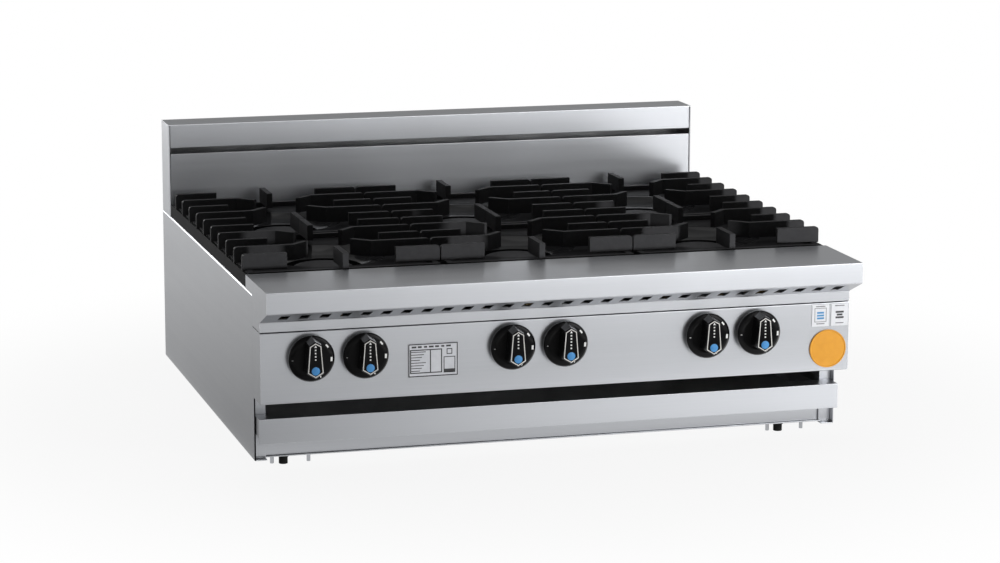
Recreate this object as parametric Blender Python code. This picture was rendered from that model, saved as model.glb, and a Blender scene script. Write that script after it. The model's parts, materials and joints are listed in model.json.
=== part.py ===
"""Counter-top gas boiling top with six open burners, built piece by piece.

Sizes are in millimetres and are turned into metres when a mesh is made. X runs to the right, Y to the back
and Z up. The origin lies on the floor below the middle of the footprint.
"""

import math

import bpy
import bmesh
from mathutils import Vector

MM = 0.001

# Overall size
WIDTH = 900.0
DEPTH = 850.0
FOOT_HEIGHT = 17.0

# Sheet metal and fits
SHEET = 1.5
GAP = 0.3
CUT_MARGIN = 7.5

# Casing
SIDE_HEIGHT = 247.0
SIDE_SETBACK = 104.0
SIDE_TOP_FLANGE = 12.0
SIDE_BOTTOM_FLANGE = 20.0
POST_WIDTH = 18.2
POST_DEPTH = 20.0
POST_INSET = 11.3

# Front ledge
LEDGE_RISE = 21.0
LEDGE_FACE = 31.0
LEDGE_DEPTH = 150.0
LEDGE_OVERHANG = 51.0
LEDGE_DROP = 21.0
LEDGE_RETURN = 14.5
SLOT_PITCH = 30.0
SLOT_WIDTH = 14.0
SLOT_LENGTH = 28.0

# Control panel: places are measured from its top edge and from its right end
PANEL_HEIGHT = 104.8
PANEL_GAP = 1.3
PLATE_SIZE = (75.0, 50.0)
PLATE_FROM_COLUMN = 105.0
PLATE_DROP = 52.2
PLATE_THICKNESS = 0.6
BADGE_DIAMETER = 58.0
BADGE_THICKNESS = 2.5
BADGE_INSET = 33.5
BADGE_DROP = 70.2
LABEL_SIZE = (27.0, 33.5)
LABEL_INSETS = (45.8, 15.2)
LABEL_DROP = 19.4

# Knobs and valve spindles
KNOB_DROP = 38.2
KNOB_OFFSETS = (-77.0, 3.0)
KNOB_DIAMETER = 68.0
KNOB_SKIRT = 10.4
KNOB_CHAMFER = 1.2
KNOB_EDGE = (10.0, 4.2)
KNOB_GRIP = 24.0
KNOB_STANDOFF = 3.6
KNOB_PUSH = 3.0
GRIP_LENGTH = 54.0
GRIP_WIDE = 24.2
GRIP_NARROW = 17.6
GRIP_TOP_POINT = 5.2
GRIP_BOTTOM_POINT = 7.4
GRIP_RISE = 2.8
GRIP_DRAFT = 1.04
GRIP_CHAMFER = 1.5
GRIP_FACE_SHARE = 0.93
SPINDLE_DIAMETER = 8.0
SPINDLE_FLAT = 2.6
SPINDLE_EASE = 0.05
SPINDLE_IN_KNOB = 14.4
SPINDLE_IN_VALVE = 26.5
SPINDLE_HOLE = 14.0
BORE_CLEARANCE = 1.0

# Drip tray
TRAY_BAR_SETBACK = 81.0
TRAY_BAR_HEIGHT = 37.5
TRAY_BAR_END = 27.0
TRAY_BAR_INSET = 3.0
TRAY_DROP = 4.2
TRAY_WALL = 25.0
TRAY_SIDE_CLEARANCE = 22.7
TRAY_BACK_CLEARANCE = 130.0
RUNNER_OVERLAP = 18.8
RUNNER_LIP = 24.0
RUNNER_BACK_CLEARANCE = 74.4
BASE_PANEL_INSET = 4.7
BASE_PANEL_HEIGHT = 31.4
BASE_PANEL_CLEARANCE = 3.0
BASE_PANEL_FLANGE = 20.0

# Splashback
SPLASH_HEIGHT = 151.0
SPLASH_DEPTH = 66.0
SPLASH_CAP = 38.5
FLUE_HEIGHT = 9.5
FLUE_LIP = 16.0
SPLASH_LIP = 2.2
SPLASH_SEAM = 1.0

# Hob frame and spill trays
HOB_BAR_STAND = 3.0
HOB_BAR_DEPTH = 10.2
HOB_UPSTAND = 2.5
HOB_UPSTAND_HEIGHT = 6.8
HOB_LEDGE = 9.0
SPILL_SHEET = 1.5
SPILL_RIM_SPARE = 1.0
WELL_RADIUS = 58.0
WELL_DROP = 16.0
WELL_HALFWAY_DROP = 9.9
WELL_COLLAR = 8.7
WELL_SIDE_STEPS = 6

# Burners
COLUMN_COUNT = 3
HEAD_RADIUS = 44.0
HEAD_WALL = 8.0
HEAD_HEIGHT = 10.0
HEAD_CONE = 7.0
HEAD_FLOOR = 3.0
HEAD_THROAT = 4.0
MIXER_RADIUS = 17.0
MIXER_BORE = 13.0
MIXER_LENGTH = 33.0
ARM_COUNT = 4
ARM_OVERLAP = 5.0
ARM_WIDTH = 12.0
ARM_HEIGHT = 4.0
ARM_STEP = 1.0
PORT_COUNT = 12
PORT_WIDTH = 3.0
PORT_DEPTH = 4.0
CAP_OVERHANG = 2.0
CAP_HEIGHT = 8.7
CAP_EDGE = (13.8, 4.5)
CAP_SPIGOT = 5.0
CAP_SPIGOT_WALL = 4.0
CAP_HOLLOW = 2.2

# Trivets
TRIVET_GAP = 2.0
TRIVET_FRONT_CLEARANCE = 3.0
TRIVET_REAR_CLEARANCE = 21.0
FIN_HEIGHT = 24.0
FIN_THICKNESS = 8.0
FINGER_THICKNESS = 9.0
FIN_END_MARGIN = 29.6
FIN_OUTER_START = 82.0
FIN_MIDDLE_START = 86.0
FIN_BEND = 60.0
FIN_TIP = (35.0, 37.0)
FINGER_START = 90.0
TRIVET_CORNER = 4.5
RAIL_SIDE_INSET = 4.5
RAIL_END_INSET = 2.25
RAIL_WIDTH = 9.0
RAIL_HEIGHT = 6.7
RAIL_OVERLAP = 1.0

# Gas train
RAIL_TUBE_RADIUS = 13.0
RAIL_PAST_INLET = 14.0
VALVE_WIDTH = 28.0
VALVE_BEHIND_SPINDLE = 20.7
SUPPLY_RADIUS = 5.0
SUPPLY_BELOW_MIXER = 10.0
SUPPLY_FROM_VALVE_FRONT = 25.2
INJECTOR_GAP = 1.0
INLET_RADIUS = 10.5
INLET_INSET = 42.0
INLET_HOLE = 30.0
INLET_END_GAP = 4.5

# Feet
FOOT_INSET = 63.0
FOOT_SHIFT = 10.5
FOOT_FRONT_SETBACK = 149.0
FOOT_REAR_INSET = 60.0
FOOT_COLLAR_RADIUS = 9.0
FOOT_COLLAR = 6.0
FOOT_PAD_RADIUS = 6.75
STUD_RADIUS = 3.0
STUD_OFFSET = 27.5
STUD_CLEARANCE = 1.0

# Rear vents
VENT_SIZE = (50.0, 8.0)
VENT_PITCH = 75.0
VENT_MARGIN = 75.0
VENT_DROP = 42.0

# Facets: steps round small, middling and large circles, and along an eased edge
FINE_STEPS = 8
SHAFT_STEPS = 12
HOLE_STEPS = 16
BURNER_STEPS = 20
KNOB_STEPS = 28
BADGE_STEPS = 40
EDGE_STEPS = 3

# Worked-out places across and along
HALF = WIDTH / 2
FRONT = -DEPTH / 2
BACK = DEPTH / 2
INSIDE = HALF - SHEET - GAP
PANEL_FACE = FRONT + LEDGE_OVERHANG
SIDE_FRONT = FRONT + SIDE_SETBACK
LEDGE_BACK = FRONT + LEDGE_DEPTH
SPLASH_FRONT = BACK - SPLASH_DEPTH
POST_FRONT = SIDE_FRONT + POST_INSET
POST_INNER = INSIDE - POST_WIDTH
VALVE_FRONT = PANEL_FACE + SHEET + GAP
RAIL_TUBE_Y = VALVE_FRONT + SPINDLE_IN_VALVE + VALVE_BEHIND_SPINDLE
INLET_X = HALF - INLET_INSET
FOOT_X = HALF - FOOT_INSET
FOOT_PLACES = (FRONT + FOOT_FRONT_SETBACK, BACK - FOOT_REAR_INSET)
SLOT_COUNT = int((WIDTH - SLOT_PITCH) // SLOT_PITCH)
VENT_COUNT = int((WIDTH - 2 * VENT_MARGIN) // VENT_PITCH)
COLUMN_PITCH = WIDTH / COLUMN_COUNT
COLUMNS = (-COLUMN_PITCH, 0.0, COLUMN_PITCH)
TRIVET_WIDTH = COLUMN_PITCH - TRIVET_GAP
TRIVETS_FRONT = LEDGE_BACK + TRIVET_FRONT_CLEARANCE
TRIVETS_REAR = SPLASH_FRONT - TRIVET_REAR_CLEARANCE
TRIVET_DEPTH = (TRIVETS_REAR - TRIVETS_FRONT - TRIVET_GAP) / 2
ROWS = (TRIVETS_FRONT + TRIVET_DEPTH / 2, TRIVETS_REAR - TRIVET_DEPTH / 2)
FIN_PITCH = (TRIVET_DEPTH / 2 - FIN_END_MARGIN) / 2
SPILL_RIM = HOB_LEDGE + SPILL_RIM_SPARE
CAP_RADIUS = HEAD_RADIUS + CAP_OVERHANG

# Worked-out heights above the casing's bottom edge
LEDGE_TOP = SIDE_HEIGHT + LEDGE_RISE
LEDGE_RETURN_BOTTOM = LEDGE_TOP - LEDGE_FACE - LEDGE_DROP - LEDGE_RETURN
PANEL_TOP = LEDGE_RETURN_BOTTOM - PANEL_GAP
PANEL_BOTTOM = PANEL_TOP - PANEL_HEIGHT
KNOB_HEIGHT = PANEL_TOP - KNOB_DROP
BASE_BOTTOM = SHEET + GAP
BASE_TOP = BASE_BOTTOM + SHEET
BASE_PANEL_TOP = BASE_TOP + GAP + BASE_PANEL_HEIGHT
TRAY_FLOOR = BASE_PANEL_TOP + BASE_PANEL_CLEARANCE
TRAY_BAR_TOP = TRAY_FLOOR + TRAY_WALL + TRAY_DROP
TRAY_BAR_BOTTOM = TRAY_BAR_TOP - TRAY_BAR_HEIGHT
SPLASH_TOP = SIDE_HEIGHT + SPLASH_HEIGHT
FLUE_BOTTOM = SPLASH_TOP - SPLASH_CAP - FLUE_HEIGHT
HOB_BAR_BOTTOM = SIDE_HEIGHT + HOB_BAR_STAND
HOB_BAR_TOP = HOB_BAR_BOTTOM + HOB_BAR_DEPTH
HOB_UPSTAND_TOP = HOB_BAR_TOP + HOB_UPSTAND_HEIGHT
WELL_RIM_TOP = HOB_BAR_TOP + GAP + SPILL_SHEET
ARM_TOP = WELL_RIM_TOP - WELL_DROP - WELL_COLLAR - GAP
HEAD_TOP = ARM_TOP + ARM_STEP
MIXER_BOTTOM = HEAD_TOP - HEAD_HEIGHT - MIXER_LENGTH
SUPPLY_HEIGHT = MIXER_BOTTOM - SUPPLY_BELOW_MIXER
FIN_BOTTOM = WELL_RIM_TOP + GAP + RAIL_HEIGHT - RAIL_OVERLAP
TRIVET_TOP = FIN_BOTTOM + FIN_HEIGHT
VENT_HEIGHT = SIDE_HEIGHT - VENT_DROP
COLUMN_NAMES = ("left", "centre", "right")
ROW_NAMES = ("front", "rear")


def up(height):
    """Turn a height above the casing's bottom edge into a height above the floor."""
    return height + FOOT_HEIGHT


# Mesh helpers

def clear_scene():
    """Remove every object that the scene starts with."""
    for item in list(bpy.data.objects):
        bpy.data.objects.remove(item, do_unlink=True)


def make_material(name, colour, roughness, metallic):
    """A plain Principled BSDF material."""
    surface = bpy.data.materials.new(name)
    surface.use_nodes = True
    shader = surface.node_tree.nodes["Principled BSDF"]
    shader.inputs["Base Color"].default_value = (*colour, 1.0)
    shader.inputs["Roughness"].default_value = roughness
    shader.inputs["Metallic"].default_value = metallic
    return surface


def close_mesh(shape, name):
    """Turn a bmesh in millimetres into a mesh in metres with its faces pointing out."""
    bmesh.ops.recalc_face_normals(shape, faces=shape.faces)
    bmesh.ops.scale(shape, vec=(MM, MM, MM), verts=shape.verts)
    mesh = bpy.data.meshes.new(name)
    shape.to_mesh(mesh)
    shape.free()
    return mesh


def add_object(name, mesh, surface=None, place=(0.0, 0.0, 0.0)):
    """Link a mesh into the scene as a named piece."""
    piece = bpy.data.objects.new(name, mesh)
    piece.location = Vector(place) * MM
    bpy.context.scene.collection.objects.link(piece)
    if surface is not None:
        mesh.materials.clear()
        mesh.materials.append(surface)
    return piece


def add_rings(shape, rings, closed=False):
    """Bridge rings of points. A ring of one point is a pole, and end rings are capped unless closed."""
    loops = [[shape.verts.new(point) for point in ring] for ring in rings]
    pairs = list(zip(loops, loops[1:]))
    if closed:
        pairs.append((loops[-1], loops[0]))
    for first, second in pairs:
        count = max(len(first), len(second))
        for step in range(count):
            after = (step + 1) % count
            corners = [first[step % len(first)], first[after % len(first)]]
            corners += [second[after % len(second)], second[step % len(second)]]
            shape.faces.new(list(dict.fromkeys(corners)))
    if not closed:
        for loop in (loops[0], loops[-1]):
            if len(loop) > 2:
                shape.faces.new(loop)
    return shape


def add_box(shape, x_span, y_span, z_span):
    """Add a box given by its spans along the three axes."""
    corners = [(x_span[0], y_span[0]), (x_span[1], y_span[0]), (x_span[1], y_span[1]), (x_span[0], y_span[1])]
    return add_rings(shape, [[(x, y, z) for x, y in corners] for z in z_span])


def add_prism(shape, outline, axis, span):
    """Extrude a flat outline along X (outline in Y, Z), Y (outline in X, Z) or Z (outline in X, Y)."""
    rings = []
    for along in span:
        if axis == "X":
            rings.append([(along, a, b) for a, b in outline])
        elif axis == "Y":
            rings.append([(a, along, b) for a, b in outline])
        else:
            rings.append([(a, b, along) for a, b in outline])
    return add_rings(shape, rings)


def add_turned(shape, profile, steps, centre=(0.0, 0.0, 0.0), axis="Z", closed=False):
    """Turn a profile of (radius, height) points about an axis through the centre."""
    rings = []
    for radius, height in profile:
        ring = []
        for step in range(1 if radius == 0 else steps):
            turn = 2 * math.pi * step / steps
            a = radius * math.cos(turn)
            b = radius * math.sin(turn)
            spot = {"X": (height, a, b), "Y": (a, height, b), "Z": (a, b, height)}[axis]
            ring.append(tuple(c + s for c, s in zip(centre, spot)))
        rings.append(ring)
    return add_rings(shape, rings, closed)


def add_cylinder(shape, radius, span, steps, centre, axis):
    """Add a plain cylinder along an axis."""
    return add_turned(shape, [(radius, span[0]), (radius, span[1])], steps, centre, axis)


def add_pipe(shape, path, radius, steps):
    """Sweep a round pipe along a path of points with mitred corners."""
    points = [Vector(point) for point in path]
    rings = []
    for index, point in enumerate(points):
        before = (point - points[index - 1]).normalized() if index else None
        after = (points[index + 1] - point).normalized() if index + 1 < len(points) else None
        heading = ((before or after) + (after or before)).normalized()
        run = before or after
        side = run.cross(Vector((0.31, 0.47, 0.83))).normalized() if index == 0 else side
        side = (side - run * side.dot(run)).normalized()
        other = run.cross(side)
        ring = []
        for step in range(steps):
            turn = 2 * math.pi * step / steps
            offset = side * (radius * math.cos(turn)) + other * (radius * math.sin(turn))
            slide = -offset.dot(heading) / run.dot(heading)
            ring.append(point + offset + run * slide)
        rings.append(ring)
    return add_rings(shape, rings)


def arc(centre, radius, start, stop, steps):
    """Points along an arc, with angles in degrees."""
    turns = [math.radians(start + (stop - start) * step / steps) for step in range(steps + 1)]
    return [(centre[0] + radius * math.cos(turn), centre[1] + radius * math.sin(turn)) for turn in turns]


def carve(mesh, tools):
    """Apply Booleans to a mesh: each tool is an operation and the mesh that does it."""
    body = add_object("body", mesh)
    cutters = []
    for operation, tool_mesh in tools:
        cutter = add_object("cutter", tool_mesh)
        cutters.append(cutter)
        step = body.modifiers.new(operation.lower(), "BOOLEAN")
        step.operation = operation
        step.object = cutter
    graph = bpy.context.evaluated_depsgraph_get()
    result = bpy.data.meshes.new_from_object(body.evaluated_get(graph))
    for item in [body] + cutters:
        bpy.data.objects.remove(item, do_unlink=True)
    return result


def smooth(mesh, angle=35.0):
    """Shade round stretches smooth and keep the edges sharp."""
    mesh.shade_smooth()
    mesh.set_sharp_from_angle(angle=math.radians(angle))
    return mesh


def mirror_x(outline, side):
    """Swap an outline drawn for the left side over to the right side."""
    return [(-side * a, b) for a, b in outline]


# Casing

def make_side_panels(steel):
    """Side sheets, each with a flange turned in at the top and at the bottom."""
    top = up(SIDE_HEIGHT)
    low = up(0.0)
    outline = [(HALF, low), (HALF - SIDE_BOTTOM_FLANGE, low), (HALF - SIDE_BOTTOM_FLANGE, low + SHEET),
               (HALF - SHEET, low + SHEET), (HALF - SHEET, top - SHEET),
               (HALF - SIDE_TOP_FLANGE, top - SHEET), (HALF - SIDE_TOP_FLANGE, top), (HALF, top)]
    for name, side in (("left_side_panel", 1), ("right_side_panel", -1)):
        shape = add_prism(bmesh.new(), mirror_x(outline, side), "Y", (SIDE_FRONT, BACK))
        add_object(name, close_mesh(shape, name), steel)


def make_posts(steel):
    """Folded uprights just inside the side sheets, at the front."""
    rear = POST_FRONT + POST_DEPTH
    fold = POST_FRONT + SHEET
    outline = [(INSIDE, POST_FRONT), (POST_INNER, POST_FRONT), (POST_INNER, rear), (POST_INNER + SHEET, rear),
               (POST_INNER + SHEET, fold), (INSIDE - SHEET, fold), (INSIDE - SHEET, rear), (INSIDE, rear)]
    span = (up(BASE_TOP + GAP), up(SIDE_HEIGHT - SHEET - GAP))
    for name, side in (("left_post", 1), ("right_post", -1)):
        shape = add_prism(bmesh.new(), mirror_x(outline, side), "Z", span)
        add_object(name, close_mesh(shape, name), steel)


def make_base(steel):
    """Base pan with the studs that stand beside the feet, and the low front panel on it."""
    shape = add_box(bmesh.new(), (-INSIDE, INSIDE), (POST_FRONT, BACK - SHEET - GAP),
                    (up(BASE_BOTTOM), up(BASE_TOP)))
    studs = bmesh.new()
    for side in (-1, 1):
        for y in FOOT_PLACES:
            for shift in (-STUD_OFFSET, STUD_OFFSET):
                centre = (side * FOOT_X + shift, y, 0.0)
                add_cylinder(studs, STUD_RADIUS, (STUD_CLEARANCE, up(BASE_BOTTOM) + SHEET / 2), FINE_STEPS,
                             centre, "Z")
    pan = carve(close_mesh(shape, "base_pan"), [("UNION", close_mesh(studs, "studs"))])
    add_object("base_pan", smooth(pan), steel)

    face = POST_FRONT + BASE_PANEL_INSET
    low = up(BASE_TOP + GAP)
    top = up(BASE_PANEL_TOP)
    outline = [(face, low), (face + BASE_PANEL_FLANGE, low), (face + BASE_PANEL_FLANGE, low + SHEET),
               (face + SHEET, low + SHEET), (face + SHEET, top), (face, top)]
    half = POST_INNER - GAP
    shape = add_prism(bmesh.new(), outline, "X", (-half, half))
    add_object("base_front_panel", close_mesh(shape, "base_front_panel"), steel)


def make_rear_panel(steel):
    """Rear sheet with a row of vents and a hole for the gas inlet."""
    face = (BACK - SHEET, BACK)
    shape = add_box(bmesh.new(), (-INSIDE, INSIDE), face, (up(BASE_BOTTOM), up(SIDE_HEIGHT - SHEET - GAP)))
    holes = bmesh.new()
    through = (BACK - CUT_MARGIN, BACK + CUT_MARGIN)
    for index in range(VENT_COUNT):
        x = (index - (VENT_COUNT - 1) / 2) * VENT_PITCH
        add_box(holes, (x - VENT_SIZE[0] / 2, x + VENT_SIZE[0] / 2), through,
                (up(VENT_HEIGHT), up(VENT_HEIGHT + VENT_SIZE[1])))
    add_cylinder(holes, INLET_HOLE / 2, through, BURNER_STEPS, (INLET_X, 0.0, up(KNOB_HEIGHT)), "Y")
    sheet = carve(close_mesh(shape, "rear_panel"), [("DIFFERENCE", close_mesh(holes, "holes"))])
    add_object("rear_panel", sheet, steel)


def make_ledge(steel):
    """Front ledge: flat top, upright nose, sloping vented underside and a short return."""
    top = up(LEDGE_TOP)
    nose = top - LEDGE_FACE
    slope_end = nose - LEDGE_DROP
    bottom = up(LEDGE_RETURN_BOTTOM)
    slant = math.hypot(LEDGE_OVERHANG, LEDGE_DROP)
    corner = SHEET * (slant - LEDGE_DROP) / LEDGE_OVERHANG
    outline = [(LEDGE_BACK, top), (FRONT, top), (FRONT, nose), (PANEL_FACE, slope_end), (PANEL_FACE, bottom),
               (PANEL_FACE + SHEET, bottom), (PANEL_FACE + SHEET, slope_end + corner),
               (FRONT + SHEET, nose + corner), (FRONT + SHEET, top - SHEET), (LEDGE_BACK, top - SHEET)]
    shape = add_prism(bmesh.new(), outline, "X", (-HALF + SHEET / 2, HALF - SHEET / 2))
    end_outline = [(FRONT, nose), (FRONT, top), (LEDGE_BACK, top), (LEDGE_BACK, up(SIDE_HEIGHT + GAP)),
                   (SIDE_FRONT - GAP, up(SIDE_HEIGHT + GAP)), (SIDE_FRONT - GAP, bottom),
                   (PANEL_FACE, bottom), (PANEL_FACE, slope_end)]
    ends = bmesh.new()
    add_prism(ends, end_outline, "X", (-HALF, -HALF + SHEET))
    add_prism(ends, end_outline, "X", (HALF - SHEET, HALF))

    middle = Vector(((FRONT + PANEL_FACE) / 2, (nose + slope_end) / 2))
    along = Vector((LEDGE_OVERHANG, -LEDGE_DROP)) / slant
    across = Vector((-along.y, along.x))
    corners = [middle + along * (SLOT_LENGTH / 2 * a) + across * (CUT_MARGIN * b)
               for a, b in ((-1, -1), (1, -1), (1, 1), (-1, 1))]
    slots = bmesh.new()
    for index in range(SLOT_COUNT):
        x = (index - (SLOT_COUNT - 1) / 2) * SLOT_PITCH
        add_prism(slots, corners, "X", (x - SLOT_WIDTH / 2, x + SLOT_WIDTH / 2))
    ledge = carve(close_mesh(shape, "front_ledge"), [("UNION", close_mesh(ends, "ends")),
                                                     ("DIFFERENCE", close_mesh(slots, "slots"))])
    add_object("front_ledge", ledge, steel)


def knob_places():
    """Name and X of each knob: in every pair the left one serves the rear burner."""
    places = []
    for column, column_name in zip(COLUMNS, COLUMN_NAMES):
        for offset, row_name in zip(KNOB_OFFSETS, reversed(ROW_NAMES)):
            places.append((f"{row_name}_{column_name}", column + offset))
    return places


def make_control_panel(steel, foil, orange, paper):
    """Folded control panel with spindle holes, and the plates that are stuck to its face."""
    shape = add_box(bmesh.new(), (-HALF, HALF), (PANEL_FACE, SIDE_FRONT - GAP),
                    (up(PANEL_BOTTOM), up(PANEL_TOP)))
    hollow = add_box(bmesh.new(), (-HALF + SHEET, HALF - SHEET), (PANEL_FACE + SHEET, SIDE_FRONT + SHEET),
                     (up(PANEL_BOTTOM) + SHEET, up(PANEL_TOP) - SHEET))
    holes = bmesh.new()
    for _, x in knob_places():
        add_cylinder(holes, SPINDLE_HOLE / 2, (PANEL_FACE - CUT_MARGIN, PANEL_FACE + CUT_MARGIN), HOLE_STEPS,
                     (x, 0.0, up(KNOB_HEIGHT)), "Y")
    panel = carve(close_mesh(shape, "control_panel"), [("DIFFERENCE", close_mesh(hollow, "hollow")),
                                                       ("DIFFERENCE", close_mesh(holes, "holes"))])
    add_object("control_panel", panel, steel)

    face = PANEL_FACE - GAP
    plates = [("rating_plate", (COLUMNS[0] + PLATE_FROM_COLUMN, PANEL_TOP - PLATE_DROP), PLATE_SIZE, foil)]
    plates += [(f"label_{name}", (HALF - inset, PANEL_TOP - LABEL_DROP), LABEL_SIZE, paper)
               for name, inset in zip(("left", "right"), LABEL_INSETS)]
    for name, centre, size, surface in plates:
        shape = add_box(bmesh.new(), (centre[0] - size[0] / 2, centre[0] + size[0] / 2),
                        (face - PLATE_THICKNESS, face),
                        (up(centre[1] - size[1] / 2), up(centre[1] + size[1] / 2)))
        add_object(name, close_mesh(shape, name), surface)
    shape = add_cylinder(bmesh.new(), BADGE_DIAMETER / 2, (face - BADGE_THICKNESS, face), BADGE_STEPS,
                         (HALF - BADGE_INSET, 0.0, up(PANEL_TOP - BADGE_DROP)), "Y")
    add_object("badge_disc", smooth(close_mesh(shape, "badge_disc")), orange)


# Knobs and gas train

def d_outline(radius, flat):
    """Outline of a round shaft with one flat, which faces up."""
    half_angle = math.degrees(math.acos(flat / radius))
    return arc((0.0, 0.0), radius, 90 + half_angle, 450 - half_angle, FINE_STEPS)


def eased_edge(radius, edge, start, stop):
    """Profile points that round a rim over to a flat face, as a quarter of an ellipse."""
    turns = [math.pi / 2 * step / EDGE_STEPS for step in range(EDGE_STEPS + 1)]
    return [(radius - edge[0] * (1 - math.cos(turn)), start + (stop - start) * math.sin(turn))
            for turn in turns]


def make_knobs(black, steel):
    """Knobs that push in on the flats of their spindles, and the spindles that turn in the valves."""
    radius = KNOB_DIAMETER / 2
    back = -KNOB_STANDOFF
    face = back - KNOB_SKIRT
    skirt = [(0.0, back), (radius - KNOB_CHAMFER, back), (radius, back - KNOB_CHAMFER)]
    skirt += eased_edge(radius, KNOB_EDGE, face + KNOB_EDGE[1], face) + [(0.0, face)]
    shape = add_turned(bmesh.new(), skirt, KNOB_STEPS, axis="Y")

    reach = GRIP_LENGTH / 2
    high = reach - GRIP_TOP_POINT
    low = GRIP_BOTTOM_POINT - reach
    outline = [(0.0, -reach), (GRIP_WIDE / 2, low), (GRIP_NARROW / 2, high),
               (0.0, reach), (-GRIP_NARROW / 2, high), (-GRIP_WIDE / 2, low)]
    grip_face = face - KNOB_GRIP
    levels = ((face + KNOB_SKIRT / 2, GRIP_DRAFT), (grip_face + GRIP_CHAMFER, 1.0),
              (grip_face, GRIP_FACE_SHARE))
    grip = add_rings(bmesh.new(), [[(a * scale, y, b * scale + GRIP_RISE) for a, b in outline]
                                   for y, scale in levels])

    shaft = SPINDLE_DIAMETER / 2
    bore_end = back - SPINDLE_IN_KNOB - KNOB_PUSH - BORE_CLEARANCE
    bore = add_prism(bmesh.new(), d_outline(shaft + GAP, SPINDLE_FLAT + GAP), "Y", (bore_end, back + SHEET))
    knob = carve(close_mesh(shape, "knob"), [("UNION", close_mesh(grip, "grip")),
                                             ("DIFFERENCE", close_mesh(bore, "bore"))])
    smooth(knob)

    round_part = add_cylinder(bmesh.new(), shaft, (0.0, SHEET + GAP + SPINDLE_IN_VALVE), SHAFT_STEPS,
                              (0.0, 0.0, 0.0), "Y")
    flat_part = add_prism(bmesh.new(), d_outline(shaft - SPINDLE_EASE, SPINDLE_FLAT), "Y",
                          (back - SPINDLE_IN_KNOB, SHEET))
    spindle = carve(close_mesh(round_part, "spindle"), [("UNION", close_mesh(flat_part, "flat_part"))])
    smooth(spindle)

    for name, x in knob_places():
        place = (x, PANEL_FACE, up(KNOB_HEIGHT))
        add_object(f"knob_{name}", knob, black, place)
        add_object(f"spindle_{name}", spindle, steel, place)


def make_manifold(brass):
    """Gas rail with its valve bodies, the pipes to the six burners and the inlet at the back."""
    height = up(KNOB_HEIGHT)
    reach = INLET_X + RAIL_PAST_INLET
    shape = add_cylinder(bmesh.new(), RAIL_TUBE_RADIUS, (-reach, reach), SHAFT_STEPS,
                         (0.0, RAIL_TUBE_Y, height), "X")
    bodies = bmesh.new()
    bores = bmesh.new()
    pipes = bmesh.new()
    half = VALVE_WIDTH / 2
    deep = up(SUPPLY_HEIGHT)
    start_y = VALVE_FRONT + SUPPLY_FROM_VALVE_FRONT
    targets = [(column, row) for column in COLUMNS for row in reversed(ROWS)]
    for (_, x), (column, row) in zip(knob_places(), targets):
        add_box(bodies, (x - half, x + half), (VALVE_FRONT, RAIL_TUBE_Y - RAIL_TUBE_RADIUS / 2),
                (height - half, height + half))
        add_cylinder(bores, SPINDLE_DIAMETER / 2 + GAP,
                     (VALVE_FRONT - CUT_MARGIN, VALVE_FRONT + SPINDLE_IN_VALVE + GAP),
                     SHAFT_STEPS, (x, 0.0, height), "Y")
        bend = row - 2 * HEAD_RADIUS
        path = [(x, start_y, height + half / 2), (x, start_y, deep), (x, bend, deep), (column, row, deep),
                (column, row, up(MIXER_BOTTOM) - INJECTOR_GAP)]
        add_pipe(pipes, path, SUPPLY_RADIUS, FINE_STEPS)
    inlet = add_cylinder(bmesh.new(), INLET_RADIUS, (RAIL_TUBE_Y, BACK - INLET_END_GAP), SHAFT_STEPS,
                         (INLET_X, 0.0, height), "Y")
    rail = carve(close_mesh(shape, "gas_manifold"), [("UNION", close_mesh(bodies, "bodies")),
                                                     ("UNION", close_mesh(pipes, "pipes")),
                                                     ("UNION", close_mesh(inlet, "inlet")),
                                                     ("DIFFERENCE", close_mesh(bores, "bores"))])
    add_object("gas_manifold", smooth(rail), brass)


# Drip tray

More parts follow.
